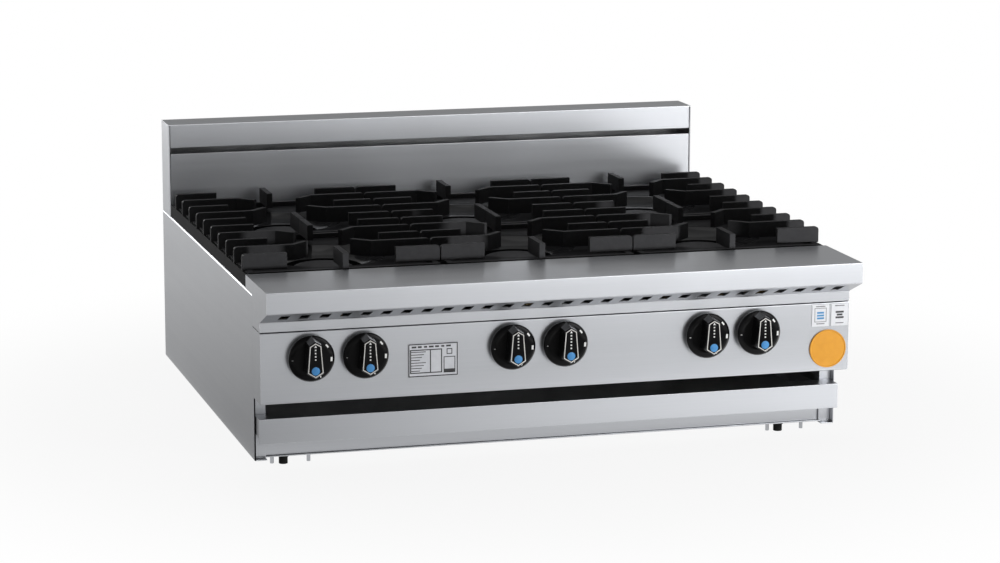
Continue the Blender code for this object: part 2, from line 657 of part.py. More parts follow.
def make_drip_tray(steel):
    """Pull-out tray, its folded front bar and the runners that carry it."""
    bar_front = FRONT + TRAY_BAR_SETBACK
    bar_back = POST_FRONT - 2 * GAP
    bar_half = HALF - TRAY_BAR_INSET
    top = up(TRAY_BAR_TOP)
    outline = [(bar_front, up(TRAY_BAR_BOTTOM)), (bar_front + SHEET, up(TRAY_BAR_BOTTOM)),
               (bar_front + SHEET, top - SHEET), (bar_back, top - SHEET), (bar_back, top), (bar_front, top)]
    shape = add_prism(bmesh.new(), outline, "X", (-bar_half + SHEET / 2, bar_half - SHEET / 2))
    ends = bmesh.new()
    for span in ((-bar_half, -bar_half + SHEET), (bar_half - SHEET, bar_half)):
        add_prism(ends, [(bar_front, up(TRAY_BAR_BOTTOM)), (bar_front + SHEET, up(TRAY_BAR_BOTTOM)),
                         (bar_front + SHEET, top - TRAY_BAR_END), (bar_back, top - TRAY_BAR_END),
                         (bar_back, top), (bar_front, top)], "X", span)
    bar = carve(close_mesh(shape, "drip_tray_front"), [("UNION", close_mesh(ends, "ends"))])
    add_object("drip_tray_front", bar, steel)

    pan_front = bar_back + GAP
    pan_back = BACK - TRAY_BACK_CLEARANCE
    pan_half = INSIDE - SHEET - TRAY_SIDE_CLEARANCE
    rim = up(TRAY_FLOOR + TRAY_WALL)
    shape = add_box(bmesh.new(), (-pan_half, pan_half), (pan_front, pan_back), (up(TRAY_FLOOR), rim))
    hollow = add_box(bmesh.new(), (-pan_half + SHEET, pan_half - SHEET),
                     (pan_front + SHEET, pan_back - SHEET), (up(TRAY_FLOOR) + SHEET, rim + CUT_MARGIN))
    pan = carve(close_mesh(shape, "drip_tray"), [("DIFFERENCE", close_mesh(hollow, "hollow"))])
    add_object("drip_tray", pan, steel)

    low = up(TRAY_FLOOR) - GAP - SHEET
    leg = pan_half - RUNNER_OVERLAP
    outline = [(INSIDE, low), (leg, low), (leg, low + SHEET),
               (INSIDE - SHEET, low + SHEET), (INSIDE - SHEET, low + RUNNER_LIP), (INSIDE, low + RUNNER_LIP)]
    start = POST_FRONT + POST_DEPTH + GAP
    for name, side in (("left_tray_runner", 1), ("right_tray_runner", -1)):
        shape = add_prism(bmesh.new(), mirror_x(outline, side), "Y", (start, BACK - RUNNER_BACK_CLEARANCE))
        add_object(name, close_mesh(shape, name), steel)


# Splashback

def make_splashback(steel):
    """Shell of ends and back, a front sheet below the flue slot and a top above it."""
    low = up(SIDE_HEIGHT + GAP)
    high = up(SPLASH_TOP)
    lip = HALF - SPLASH_LIP
    inner = HALF - SHEET
    fold = SPLASH_FRONT + SHEET
    left = [(-lip, SPLASH_FRONT), (-lip, fold), (-inner, fold), (-inner, BACK - SHEET)]
    right = [(-a, b) for a, b in reversed(left)]
    outline = left + right + [(HALF, SPLASH_FRONT), (HALF, BACK), (-HALF, BACK), (-HALF, SPLASH_FRONT)]
    shape = add_prism(bmesh.new(), outline, "Z", (low, high - SHEET - GAP))
    add_object("splashback_shell", close_mesh(shape, "splashback_shell"), steel)

    half = lip - SPLASH_SEAM
    slot = up(FLUE_BOTTOM)
    bottom = up(HOB_BAR_BOTTOM)
    lip_end = SPLASH_FRONT + FLUE_LIP
    outline = [(SPLASH_FRONT, bottom), (fold, bottom), (fold, slot - SHEET), (lip_end, slot - SHEET),
               (lip_end, slot), (SPLASH_FRONT, slot)]
    shape = add_prism(bmesh.new(), outline, "X", (-half, half))
    add_object("splashback_front", close_mesh(shape, "splashback_front"), steel)

    slot += FLUE_HEIGHT
    outline = [(SPLASH_FRONT, slot), (lip_end, slot), (lip_end, slot + SHEET), (fold, slot + SHEET),
               (fold, high - SHEET / 2), (SPLASH_FRONT, high - SHEET / 2)]
    shape = add_prism(bmesh.new(), outline, "X", (-half, half))
    plate = add_box(bmesh.new(), (-HALF, HALF), (SPLASH_FRONT, BACK), (high - SHEET, high))
    top = carve(close_mesh(shape, "splashback_top"), [("UNION", close_mesh(plate, "plate"))])
    add_object("splashback_top", top, steel)


# Hob

def make_hob_frame(enamel):
    """Enamelled frame with one opening for each spill tray and upstands at the sides and the front."""
    front = LEDGE_BACK + GAP
    rear = SPLASH_FRONT - GAP
    top = up(HOB_BAR_TOP)
    shape = add_box(bmesh.new(), (-INSIDE, INSIDE), (front, rear), (up(HOB_BAR_BOTTOM), top))
    openings = bmesh.new()
    half = spill_half_width() - HOB_LEDGE
    for column in COLUMNS:
        add_box(openings, (column - half, column + half),
                (spill_front() + HOB_LEDGE, spill_rear() - HOB_LEDGE),
                (up(HOB_BAR_BOTTOM) - CUT_MARGIN, top + CUT_MARGIN))
    high = up(HOB_UPSTAND_TOP)
    sides = bmesh.new()
    for span in ((-INSIDE, -INSIDE + HOB_UPSTAND), (INSIDE - HOB_UPSTAND, INSIDE)):
        add_box(sides, span, (front, rear), (up(SIDE_HEIGHT + GAP), high))
    nose = add_box(bmesh.new(), (-INSIDE, INSIDE), (front, front + HOB_UPSTAND),
                   (top - HOB_BAR_DEPTH / 2, high))
    frame = carve(close_mesh(shape, "hob_frame"), [("DIFFERENCE", close_mesh(openings, "openings")),
                                                   ("UNION", close_mesh(sides, "sides")),
                                                   ("UNION", close_mesh(nose, "nose"))])
    add_object("hob_frame", frame, enamel)


def spill_half_width():
    """Half the width of a spill tray, out to the upstand at the side."""
    return INSIDE - HOB_UPSTAND - GAP - COLUMN_PITCH


def spill_front():
    """Front edge of the spill trays."""
    return LEDGE_BACK + HOB_UPSTAND + 2 * GAP


def spill_rear():
    """Rear edge of the spill trays, as far from the rear burners as the front edge is from the front ones."""
    return ROWS[1] + (ROWS[0] - spill_front())


def square_ring(x_half, y_span, z, steps):
    """Points round a rectangle, with the same number of steps on each side."""
    corners = [(x_half, y_span[0]), (x_half, y_span[1]), (-x_half, y_span[1]), (-x_half, y_span[0])]
    ring = []
    for index, corner in enumerate(corners):
        target = corners[(index + 1) % 4]
        for step in range(steps):
            share = step / steps
            ring.append((corner[0] + (target[0] - corner[0]) * share,
                         corner[1] + (target[1] - corner[1]) * share, z))
    return ring


def make_spill_trays(enamel):
    """One tray per pair of burners: a flat rim, two dished wells and a collar round each burner."""
    half = spill_half_width()
    split = (ROWS[0] + ROWS[1]) / 2
    top = up(WELL_RIM_TOP)
    low = top - WELL_DROP
    shape = bmesh.new()
    for row, span in zip(ROWS, ((spill_front(), split), (split, spill_rear()))):
        outer = square_ring(half, span, top, WELL_SIDE_STEPS)
        inner_span = (span[0] + SPILL_RIM, span[1] - SPILL_RIM)
        inner = square_ring(half - SPILL_RIM, inner_span, top, WELL_SIDE_STEPS)
        round_ring = []
        for x, y, _ in inner:
            turn = math.atan2(y - row, x)
            round_ring.append((WELL_RADIUS * math.cos(turn), row + WELL_RADIUS * math.sin(turn), low))
        halfway = [((a[0] + b[0]) / 2, (a[1] + b[1]) / 2, top - WELL_HALFWAY_DROP)
                   for a, b in zip(inner, round_ring)]
        collar = [(x, y, low - WELL_COLLAR) for x, y, _ in round_ring]
        rings = [[shape.verts.new(point) for point in ring]
                 for ring in (outer, inner, halfway, round_ring, collar)]
        for first, second in zip(rings, rings[1:]):
            for step in range(len(first)):
                after = (step + 1) % len(first)
                shape.faces.new([first[step], first[after], second[after], second[step]])
    bmesh.ops.remove_doubles(shape, verts=shape.verts, dist=0.01)
    bmesh.ops.recalc_face_normals(shape, faces=shape.faces)
    if sum(face.normal.z for face in shape.faces) < 0:
        bmesh.ops.reverse_faces(shape, faces=shape.faces)
    bmesh.ops.scale(shape, vec=(MM, MM, MM), verts=shape.verts)
    mesh = bpy.data.meshes.new("spill_tray")
    shape.to_mesh(mesh)
    shape.free()
    smooth(mesh)
    for column, name in zip(COLUMNS, COLUMN_NAMES):
        tray = add_object(f"spill_tray_{name}", mesh, enamel, (column, 0.0, 0.0))
        wall = tray.modifiers.new("sheet", "SOLIDIFY")
        wall.thickness = SPILL_SHEET * MM
        wall.offset = -1.0
        wall.use_even_offset = True


def add_spoke(shape, turn, reach, width, z_span):
    """Add a straight bar that points out from the middle at an angle."""
    out = Vector((math.cos(turn), math.sin(turn)))
    side = Vector((-out.y, out.x)) * (width / 2)
    near = out * reach[0]
    far = out * reach[1]
    return add_prism(shape, [near - side, far - side, far + side, near + side], "Z", z_span)


def make_burners(iron):
    """Cast burner heads with a mixing tube and four seat arms, and the caps that lie in them."""
    top = HEAD_TOP
    floor = top - HEAD_HEIGHT
    cup = HEAD_RADIUS - HEAD_WALL
    body = [(MIXER_BORE, MIXER_BOTTOM), (MIXER_RADIUS, MIXER_BOTTOM), (MIXER_RADIUS, floor - HEAD_CONE),
            (HEAD_RADIUS, floor), (HEAD_RADIUS, top), (cup, top), (cup, floor + HEAD_FLOOR),
            (MIXER_BORE, floor - HEAD_THROAT)]
    shape = add_turned(bmesh.new(), body, BURNER_STEPS, closed=True)
    arms = bmesh.new()
    arm_reach = (cup + HEAD_WALL / 2, WELL_RADIUS + ARM_OVERLAP)
    for index in range(ARM_COUNT):
        turn = 2 * math.pi * index / ARM_COUNT
        add_spoke(arms, turn, arm_reach, ARM_WIDTH, (ARM_TOP - ARM_HEIGHT, ARM_TOP))
    ports = bmesh.new()
    port_reach = (cup - HEAD_WALL / 2, HEAD_RADIUS + HEAD_WALL / 2)
    for index in range(PORT_COUNT):
        turn = 2 * math.pi * (index + 0.5) / PORT_COUNT
        add_spoke(ports, turn, port_reach, PORT_WIDTH, (top - PORT_DEPTH, top + PORT_DEPTH))
    head = carve(close_mesh(shape, "burner"), [("UNION", close_mesh(arms, "arms")),
                                               ("DIFFERENCE", close_mesh(ports, "ports"))])
    smooth(head)

    seat = top + GAP
    crown = seat + CAP_HEIGHT
    spigot = cup - 2 * GAP
    hollow = spigot - CAP_SPIGOT_WALL
    profile = [(0.0, seat + CAP_HOLLOW), (hollow, seat + CAP_HOLLOW), (hollow, seat - CAP_SPIGOT),
               (spigot, seat - CAP_SPIGOT), (spigot, seat), (CAP_RADIUS, seat)]
    profile += eased_edge(CAP_RADIUS, CAP_EDGE, crown - CAP_EDGE[1], crown) + [(0.0, crown)]
    shape = add_turned(bmesh.new(), profile, BURNER_STEPS)
    cap = smooth(close_mesh(shape, "burner_cap"))

    for row, row_name in zip(ROWS, ROW_NAMES):
        for column, column_name in zip(COLUMNS, COLUMN_NAMES):
            place = (column, row, FOOT_HEIGHT)
            add_object(f"burner_{row_name}_{column_name}", head, iron, place)
            add_object(f"burner_cap_{row_name}_{column_name}", cap, iron, place)


def bent_fin(side_x, side_y):
    """Plan outline of a fin that runs in from the side and turns towards the middle."""
    half = FIN_THICKNESS / 2
    reach = TRIVET_WIDTH / 2 + half
    run = Vector((FIN_TIP[0] - FIN_BEND, FIN_TIP[1] - FIN_PITCH)).normalized()
    across = Vector((-run.y, run.x)) * half
    tip = Vector(FIN_TIP)
    mitre = half * math.tan(math.atan2(-run.y, -run.x) / 2)
    points = [(reach, FIN_PITCH + half), (FIN_BEND - mitre, FIN_PITCH + half), tip - across, tip + across,
              (FIN_BEND + mitre, FIN_PITCH - half), (reach, FIN_PITCH - half)]
    return [(side_x * a, side_y * b) for a, b in points]


def make_trivets(iron):
    """Cast trivets: a low frame that carries upright fins and two fingers, with the outer corners rounded."""
    low = WELL_RIM_TOP + GAP
    fin_span = (FIN_BOTTOM, TRIVET_TOP + CUT_MARGIN)
    x_rail = TRIVET_WIDTH / 2 - RAIL_SIDE_INSET
    y_rail = TRIVET_DEPTH / 2 - RAIL_END_INSET
    shape = add_box(bmesh.new(), (-x_rail, x_rail), (-y_rail, y_rail), (low, low + RAIL_HEIGHT))
    middle = add_box(bmesh.new(), (-x_rail + RAIL_WIDTH, x_rail - RAIL_WIDTH),
                     (-y_rail + RAIL_WIDTH, y_rail - RAIL_WIDTH),
                     (low - CUT_MARGIN, low + RAIL_HEIGHT + CUT_MARGIN))
    half = FIN_THICKNESS / 2
    reach = TRIVET_WIDTH / 2 + half
    fins = bmesh.new()
    for side in (-1, 1):
        for y, start in ((2 * FIN_PITCH, FIN_OUTER_START), (0.0, FIN_MIDDLE_START),
                         (-2 * FIN_PITCH, FIN_OUTER_START)):
            add_box(fins, sorted((side * start, side * reach)), (y - half, y + half), fin_span)
        for end in (-1, 1):
            add_prism(fins, bent_fin(side, end), "Z", fin_span)
        add_box(fins, (-FINGER_THICKNESS / 2, FINGER_THICKNESS / 2),
                sorted((side * FINGER_START, side * TRIVET_DEPTH / 2)), fin_span)
    edge = TRIVET_WIDTH / 2
    corner = (edge - TRIVET_CORNER, TRIVET_TOP - TRIVET_CORNER)
    right = [(edge, low - CUT_MARGIN)] + arc(corner, TRIVET_CORNER, 0, 90, EDGE_STEPS)
    outline = right + [(-a, b) for a, b in reversed(right)]
    envelope = add_prism(bmesh.new(), outline, "Y", (-TRIVET_DEPTH, TRIVET_DEPTH))
    trivet = carve(close_mesh(shape, "trivet"), [("DIFFERENCE", close_mesh(middle, "middle")),
                                                 ("UNION", close_mesh(fins, "fins")),
                                                 ("INTERSECT", close_mesh(envelope, "envelope"))])
    for row, row_name in zip(ROWS, ROW_NAMES):
        for column, column_name in zip(COLUMNS, COLUMN_NAMES):
            add_object(f"trivet_{row_name}_{column_name}", trivet, iron, (column, row, FOOT_HEIGHT))


def make_feet(rubber):
    """Stepped rubber feet screwed up against the base pan."""
    collar_top = up(BASE_BOTTOM) - GAP
    step = FOOT_HEIGHT - FOOT_COLLAR
    profile = [(0.0, collar_top), (FOOT_COLLAR_RADIUS, collar_top), (FOOT_COLLAR_RADIUS, step),
               (FOOT_PAD_RADIUS, step), (FOOT_PAD_RADIUS, 0.0), (0.0, 0.0)]
    mesh = smooth(close_mesh(add_turned(bmesh.new(), profile, HOLE_STEPS), "foot"))
    for y, row_name in zip(FOOT_PLACES, ROW_NAMES):
        for side, name in ((-1, "left"), (1, "right")):
            add_object(f"foot_{row_name}_{name}", mesh, rubber, (side * FOOT_X - FOOT_SHIFT, y, 0.0))


def main():
    clear_scene()
    steel = make_material("brushed_steel", (0.62, 0.63, 0.65), 0.32, 1.0)
    foil = make_material("plate_foil", (0.75, 0.76, 0.78), 0.45, 1.0)
    orange = make_material("orange_plastic", (0.80, 0.25, 0.03), 0.35, 0.0)
    paper = make_material("label_film", (0.85, 0.85, 0.86), 0.5, 0.0)
    black = make_material("black_plastic", (0.012, 0.012, 0.013), 0.22, 0.0)
    enamel = make_material("black_enamel", (0.02, 0.02, 0.021), 0.18, 0.0)
    iron = make_material("cast_iron", (0.02, 0.02, 0.021), 0.6, 0.0)
    brass = make_material("brass", (0.72, 0.53, 0.24), 0.35, 1.0)
    rubber = make_material("rubber", (0.02, 0.02, 0.02), 0.8, 0.0)
    make_side_panels(steel)
    make_posts(steel)
    make_base(steel)
    make_rear_panel(steel)
    make_ledge(steel)
    make_control_panel(steel, foil, orange, paper)
    make_knobs(black, steel)
    make_manifold(brass)
    make_drip_tray(steel)
    make_splashback(steel)
    make_hob_frame(enamel)
    make_spill_trays(enamel)
    make_burners(iron)
    make_trivets(iron)
    make_feet(rubber)


main()
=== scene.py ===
# %% [markdown]
# # A bench-top gas boiling top, dressed for its portrait
# The solids of this six-burner boiling top are already built, and they hold every size and every joint.
# This lesson gives them their looks in Blender. It loads the solids as a fixed frame and rounds their
# folds and edges. It models the small pieces that only the eye needs, mixes a finish for every surface,
# and sets up a plain studio.

# %% Load the frame
import json
import math
import bmesh
import bpy
from mathutils import Euler, Matrix, Vector

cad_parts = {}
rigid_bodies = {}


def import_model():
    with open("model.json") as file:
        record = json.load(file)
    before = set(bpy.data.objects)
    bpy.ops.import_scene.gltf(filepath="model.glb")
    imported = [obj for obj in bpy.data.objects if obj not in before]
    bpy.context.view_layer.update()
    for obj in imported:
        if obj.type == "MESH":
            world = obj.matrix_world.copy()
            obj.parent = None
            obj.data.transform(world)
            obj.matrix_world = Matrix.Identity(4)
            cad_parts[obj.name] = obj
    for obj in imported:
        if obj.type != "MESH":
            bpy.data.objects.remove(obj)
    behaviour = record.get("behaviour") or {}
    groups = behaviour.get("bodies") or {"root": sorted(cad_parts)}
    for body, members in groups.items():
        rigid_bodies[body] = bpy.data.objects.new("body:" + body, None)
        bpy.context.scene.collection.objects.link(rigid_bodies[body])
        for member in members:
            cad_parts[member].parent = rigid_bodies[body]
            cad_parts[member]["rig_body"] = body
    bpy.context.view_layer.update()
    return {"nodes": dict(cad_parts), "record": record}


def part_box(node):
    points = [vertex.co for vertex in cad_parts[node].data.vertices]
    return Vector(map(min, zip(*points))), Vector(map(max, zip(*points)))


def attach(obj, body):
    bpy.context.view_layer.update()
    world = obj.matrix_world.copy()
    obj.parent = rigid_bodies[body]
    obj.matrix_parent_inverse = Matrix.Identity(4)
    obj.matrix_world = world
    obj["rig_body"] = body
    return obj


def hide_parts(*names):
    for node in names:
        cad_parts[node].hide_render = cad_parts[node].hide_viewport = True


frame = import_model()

NODE_BODY = {node: piece["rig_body"] for node, piece in frame["nodes"].items()}
NODE_SLOT = {row["node"]: row["material_slot"] for row in frame["record"]["subparts"]}
ROWS = ("front", "rear")
COLUMNS = ("left", "centre", "right")
SIDES = ("left", "right")
BURNERS = [f"{row}_{column}" for column in COLUMNS for row in ROWS]
for spare in ("Cube", "Light", "Camera"):
    if spare in bpy.data.objects:
        bpy.data.objects.remove(bpy.data.objects[spare])

# %% [markdown]
# ## Tools for the bench
# Blender's operators act on whatever is selected, so each step first clears the selection and then picks
# what it wants by a rule: edges that lie along a fold, or the corners at one end. Writing that once keeps
# the later cells short. A finished piece is given its body and its material.

# %% Selecting and finishing
FORWARD = (math.pi / 2, 0, 0)
SHADE_MARGIN = 5.0


def take_up(piece):
    """Make one object the only selected and active one."""
    bpy.ops.object.select_all(action="DESELECT")
    piece.select_set(True)
    bpy.context.view_layer.objects.active = piece


def pick(piece, kind, rule):
    """In edit mode, select only the verts or edges for which the rule holds."""
    bpy.ops.mesh.select_mode(type={"verts": "VERT", "edges": "EDGE"}[kind])
    bpy.ops.mesh.select_all(action="DESELECT")
    shape = bmesh.from_edit_mesh(piece.data)
    for item in getattr(shape, kind):
        if rule(item):
            item.select_set(True)
    shape.select_flush_mode()
    bmesh.update_edit_mesh(piece.data)


def extrude(offset):
    """In edit mode, extrude what is selected by this offset."""
    bpy.ops.mesh.extrude_region_move(TRANSFORM_OT_translate={"value": offset})


def apply_modifier(piece, kind, **settings):
    """Add a modifier with these settings and apply it at once."""
    take_up(piece)
    step = piece.modifiers.new(kind.lower(), kind)
    for name, value in settings.items():
        setattr(step, name, value)
    bpy.ops.object.modifier_apply(modifier=step.name)


def shade(piece, degrees):
    """Shade a piece smooth, apart from the edges that turn by more than this."""
    take_up(piece)
    bpy.ops.object.shade_smooth_by_angle(angle=math.radians(degrees))


def round_edges(piece, radius, steps=2, angle=30.0):
    """Round every sharp edge of a piece and shade it smooth."""
    apply_modifier(piece, "BEVEL", width=radius, segments=steps, limit_method="ANGLE",
                   angle_limit=math.radians(angle), harden_normals=False)
    shade(piece, angle + SHADE_MARGIN)
    apply_modifier(piece, "WEIGHTED_NORMAL", keep_sharp=True, weight=50)


def hand_over(piece, body, slot, surface, *nodes):
    """Give a finished piece its material and its body, and hide the nodes it stands for. The slot is not
    used.
    """
    piece.data.materials.clear()
    piece.data.materials.append(surface)
    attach(piece, body)
    if nodes:
        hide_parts(*nodes)
    return piece


def copy_to(piece, name, offset):
    """A copy with its own mesh, shifted in the mesh so that the object stays at the origin."""
    twin = bpy.data.objects.new(name, piece.data.copy())
    twin.data.transform(Matrix.Translation(Vector(offset)))
    bpy.context.scene.collection.objects.link(twin)
    return twin


def middle_of(node):
    """Centre of a node's box."""
    low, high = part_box(node)
    return (low + high) / 2


print("bench tools ready")

# %% [markdown]
# ## Effects that several finishes share
# Brushed lines, fingerprints and rubbed edges turn up on more than one material, so each is a node group
# that is built once, and the grain of a casting is made the same way. A group gives out only masks; every
# material decides what to do with them. The rubbed edge comes from a Bevel node: where its rounded normal
# leaves the true normal, there is an edge.

# %% Node groups
POSITION = ("Position", "Vector", None)


def new_group(name, inputs, outputs):
    """An empty shader node group with float or vector inputs and float outputs."""
    group = bpy.data.node_groups.new(name, "ShaderNodeTree")
    for label, kind, value in inputs:
        socket = group.interface.new_socket(name=label, in_out="INPUT", socket_type=f"NodeSocket{kind}")
        if value is not None:
            socket.default_value = value
    for label in outputs:
        group.interface.new_socket(name=label, in_out="OUTPUT", socket_type="NodeSocketFloat")
    start = group.nodes.new("NodeGroupInput")
    end = group.nodes.new("NodeGroupOutput")
    return group, start.outputs, end.inputs


def feed(tree, node, **inputs):
    """Fill a node's inputs: a socket is linked, anything else is typed in. i0 and i1 go by number."""
    for label, value in inputs.items():
        index = int(label[1:]) if label[0] == "i" and label[1:].isdigit() else label.replace("__", " ")
        if isinstance(value, bpy.types.NodeSocket):
            tree.links.new(value, node.inputs[index])
        else:
            node.inputs[index].default_value = value


def put(tree, kind, **settings):
    """Add a node: a setting that starts with _ is one of its properties, any other is an input."""
    node = tree.nodes.new(f"ShaderNode{kind}")
    for name in [name for name in settings if name.startswith("_")]:
        setattr(node, name[1:], settings.pop(name))
    feed(tree, node, **settings)
    return node


def ramp(tree, factor, low, high):
    """Stretch a mask so that low becomes 0 and high becomes 1."""
    return put(tree, "MapRange", Value=factor, From__Min=low, From__Max=high).outputs["Result"]


def make_brushed_lines():
    """Fine lines drawn out along one axis, as a grinding belt leaves them."""
    inputs = [POSITION, ("Stretch", "Vector", None)]
    group, given, out = new_group("brushed_lines", inputs, ["Lines", "Bands"])
    scaled = put(group, "VectorMath", _operation="MULTIPLY", i0=given["Position"], i1=given["Stretch"])
    fine = put(group, "TexNoise", Vector=scaled.outputs[0], Scale=1.0, Detail=3.0, Roughness=0.65)
    coarse = put(group, "TexNoise", Vector=scaled.outputs[0], Scale=0.09, Detail=2.0)
    group.links.new(ramp(group, fine.outputs[0], low=0.3, high=0.7), out["Lines"])
    group.links.new(ramp(group, coarse.outputs[0], low=0.3, high=0.7), out["Bands"])
    return group


def make_smudges():
    """Soft patches where hands and cloths have been."""
    group, given, out = new_group("smudges", [POSITION, ("Scale", "Float", 6.0)], ["Patches"])
    cloud = put(group, "TexNoise", Vector=given["Position"], Scale=given["Scale"], Detail=4.0,
                Distortion=0.6)
    group.links.new(ramp(group, cloud.outputs[0], low=0.35, high=0.7), out["Patches"])
    return group


def make_rubbed_edges():
    """A broken line along the edges, where the finish wears first."""
    group, given, out = new_group("rubbed_edges", [POSITION, ("Radius", "Float", 0.001)], ["Edges"])
    rounded = put(group, "Bevel", _samples=4, Radius=given["Radius"])
    true = put(group, "NewGeometry")
    match = put(group, "VectorMath", _operation="DOT_PRODUCT", i0=rounded.outputs[0],
                i1=true.outputs["Normal"])
    edge = ramp(group, match.outputs["Value"], low=0.995, high=0.86)
    chips = put(group, "TexNoise", Vector=given["Position"], Scale=90.0, Detail=3.0)
    gaps = ramp(group, chips.outputs[0], low=0.38, high=0.6)
    broken = put(group, "Math", _operation="MULTIPLY", i0=edge, i1=gaps)
    group.links.new(broken.outputs[0], out["Edges"])
    return group


def make_cast_grain():
    """The sandy skin of an iron casting."""
    group, given, out = new_group("cast_grain", [POSITION, ("Scale", "Float", 900.0)], ["Sand", "Lumps"])
    sand = put(group, "TexNoise", Vector=given["Position"], Scale=given["Scale"], Detail=5.0, Roughness=0.6)
    lumps = put(group, "TexNoise", Vector=given["Position"], Scale=120.0, Detail=2.0)
    group.links.new(sand.outputs[0], out["Sand"])
    group.links.new(lumps.outputs[0], out["Lumps"])
    return group


BRUSHED_LINES = make_brushed_lines()
SMUDGES = make_smudges()
RUBBED_EDGES = make_rubbed_edges()
CAST_GRAIN = make_cast_grain()
print("groups:", [group.name for group in bpy.data.node_groups])

# %% [markdown]
# ## The finishes
# Each finish is a Principled shader. What is the same all over is typed straight into its sockets, and
# only what changes across the surface comes through links. Everything reads Object coordinates, so a
# pattern stays on its piece when the piece moves.

# %% Material helpers
def new_finish(name, **constants):
    """A Principled material with constant sockets set, and its tree, shader and Object coordinates."""
    surface = bpy.data.materials.new(name)
    surface.use_nodes = True
    tree = surface.node_tree
    shader = tree.nodes["Principled BSDF"]
    feed(tree, shader, **constants)
    spot = tree.nodes.new("ShaderNodeTexCoord").outputs["Object"]
    return surface, tree, shader, spot


def use_group(tree, group, **inputs):
    """Place a node group in a material."""
    return put(tree, "Group", _node_tree=group, **inputs).outputs


def blend_colours(tree, factor, *colours):
    """Mix two colours by a mask; each may be a plain colour or a socket."""
    first, second = (colour if isinstance(colour, bpy.types.NodeSocket) else (*colour, 1.0)
                     for colour in colours)
    return put(tree, "Mix", _data_type="RGBA", Factor=factor, i6=first, i7=second).outputs[2]


def spread(tree, factor, low, high):
    """Turn a mask from 0 to 1 into a value from low to high."""
    return put(tree, "MapRange", Value=factor, To__Min=low, To__Max=high).outputs["Result"]


def raise_by(tree, shader, height, strength, distance):
    """Feed a height through a Bump node into the shader's normal."""
    bump = put(tree, "Bump", Strength=strength, Distance=distance, Height=height)
    feed(tree, shader, Normal=bump.outputs["Normal"])


print("material helpers ready")

# %% [markdown]
# ### Brushed stainless steel
# The casing is stainless sheet with a belt-ground finish. The belt leaves lines that run the length of
# each sheet, so there is one version with lines along X for the front, the ledge and the splashback, and
# one with lines along Y for the side sheets. The lines stir the roughness and a very low bump, which
# draws reflections out across them.

# %% Steel
STEEL_COLOUR = (0.405, 0.415, 0.435)
STEEL_LINE_COLOUR = (0.390, 0.400, 0.420)
STEEL_WORN_COLOUR = (0.56, 0.57, 0.59)
STEEL_ROUGHNESS = (0.28, 0.31)
TOUCHED_ROUGHNESS = 0.03
BELT_LENGTHWISE = 5.0
BELT_CROSSWISE = 900.0


def make_steel(name, stretch):
    """Belt-ground stainless sheet with its lines along one axis."""
    surface, tree, shader, spot = new_finish(name, Metallic=1.0)
    lines = use_group(tree, BRUSHED_LINES, Position=spot, Stretch=stretch)
    patches = use_group(tree, SMUDGES, Position=spot, Scale=5.0)
    edges = use_group(tree, RUBBED_EDGES, Position=spot, Radius=0.0012)
    ground = blend_colours(tree, lines["Lines"], STEEL_LINE_COLOUR, STEEL_COLOUR)
    drawn = spread(tree, lines["Bands"], *STEEL_ROUGHNESS)
    touched = spread(tree, patches["Patches"], 0.0, TOUCHED_ROUGHNESS)
    rough = put(tree, "Math", _operation="ADD", i0=drawn, i1=touched)
    feed(tree, shader, Base__Color=blend_colours(tree, edges["Edges"], ground, STEEL_WORN_COLOUR),
         Roughness=rough.outputs[0])
    raise_by(tree, shader, lines["Lines"], strength=0.02, distance=0.00004)
    return surface


STEEL_X = make_steel("steel_brushed_across", (BELT_LENGTHWISE, BELT_CROSSWISE, BELT_CROSSWISE))
STEEL_Y = make_steel("steel_brushed_along", (BELT_CROSSWISE, BELT_LENGTHWISE, BELT_CROSSWISE))
print("steel:", STEEL_X.name, STEEL_Y.name)

# %% [markdown]
# ### Enamel, iron and plastic
# The hob is black vitreous enamel, glass fired onto steel: satin on its flats, glossy in its wells, with
# a faint orange-peel ripple. The trivets and burners are iron castings under a matt black coat that wears
# grey on its edges. The knobs are moulded in a hard plastic that shines where it is seen at a slant.

# %% Blacks
TRAY_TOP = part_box("spill_tray_centre")[1].z
GLOSS_STARTS = 0.0009
GLOSS_FULL = 0.0019
ENAMEL_COLOURS = ((0.012, 0.012, 0.013), (0.018, 0.018, 0.019))
IRON_COLOURS = ((0.046, 0.046, 0.048), (0.062, 0.062, 0.065))
IRON_WORN_COLOUR = (0.075, 0.075, 0.078)
IRON_ROUGHNESS = (0.42, 0.62)
KNOB_COLOUR = (0.004, 0.004, 0.0045)
KNOB_WORN_COLOUR = (0.016, 0.016, 0.017)
KNOB_ROUGHNESS = (0.13, 0.22)
KNOB_SLANT = (0.25, 0.50)


def make_enamel(name, wells):
    """Satin black enamel with cloudy patches and a slow ripple, glossy below the rims of a tray's wells."""
    surface, tree, shader, spot = new_finish(name, Specular__IOR__Level=0.015, Roughness=0.5,
                                             Coat__IOR=1.16, Coat__Roughness=0.1)
    patches = use_group(tree, SMUDGES, Position=spot, Scale=14.0)
    feed(tree, shader, Base__Color=blend_colours(tree, patches["Patches"], *ENAMEL_COLOURS))
    if wells:
        height = put(tree, "SeparateXYZ", Vector=spot).outputs["Z"]
        feed(tree, shader, Coat__Weight=ramp(tree, height, TRAY_TOP - GLOSS_STARTS, TRAY_TOP - GLOSS_FULL))
    ripple = put(tree, "TexNoise", Vector=spot, Scale=160.0, Detail=1.0)
    raise_by(tree, shader, ripple.outputs[0], strength=0.12, distance=0.0004)
    return surface


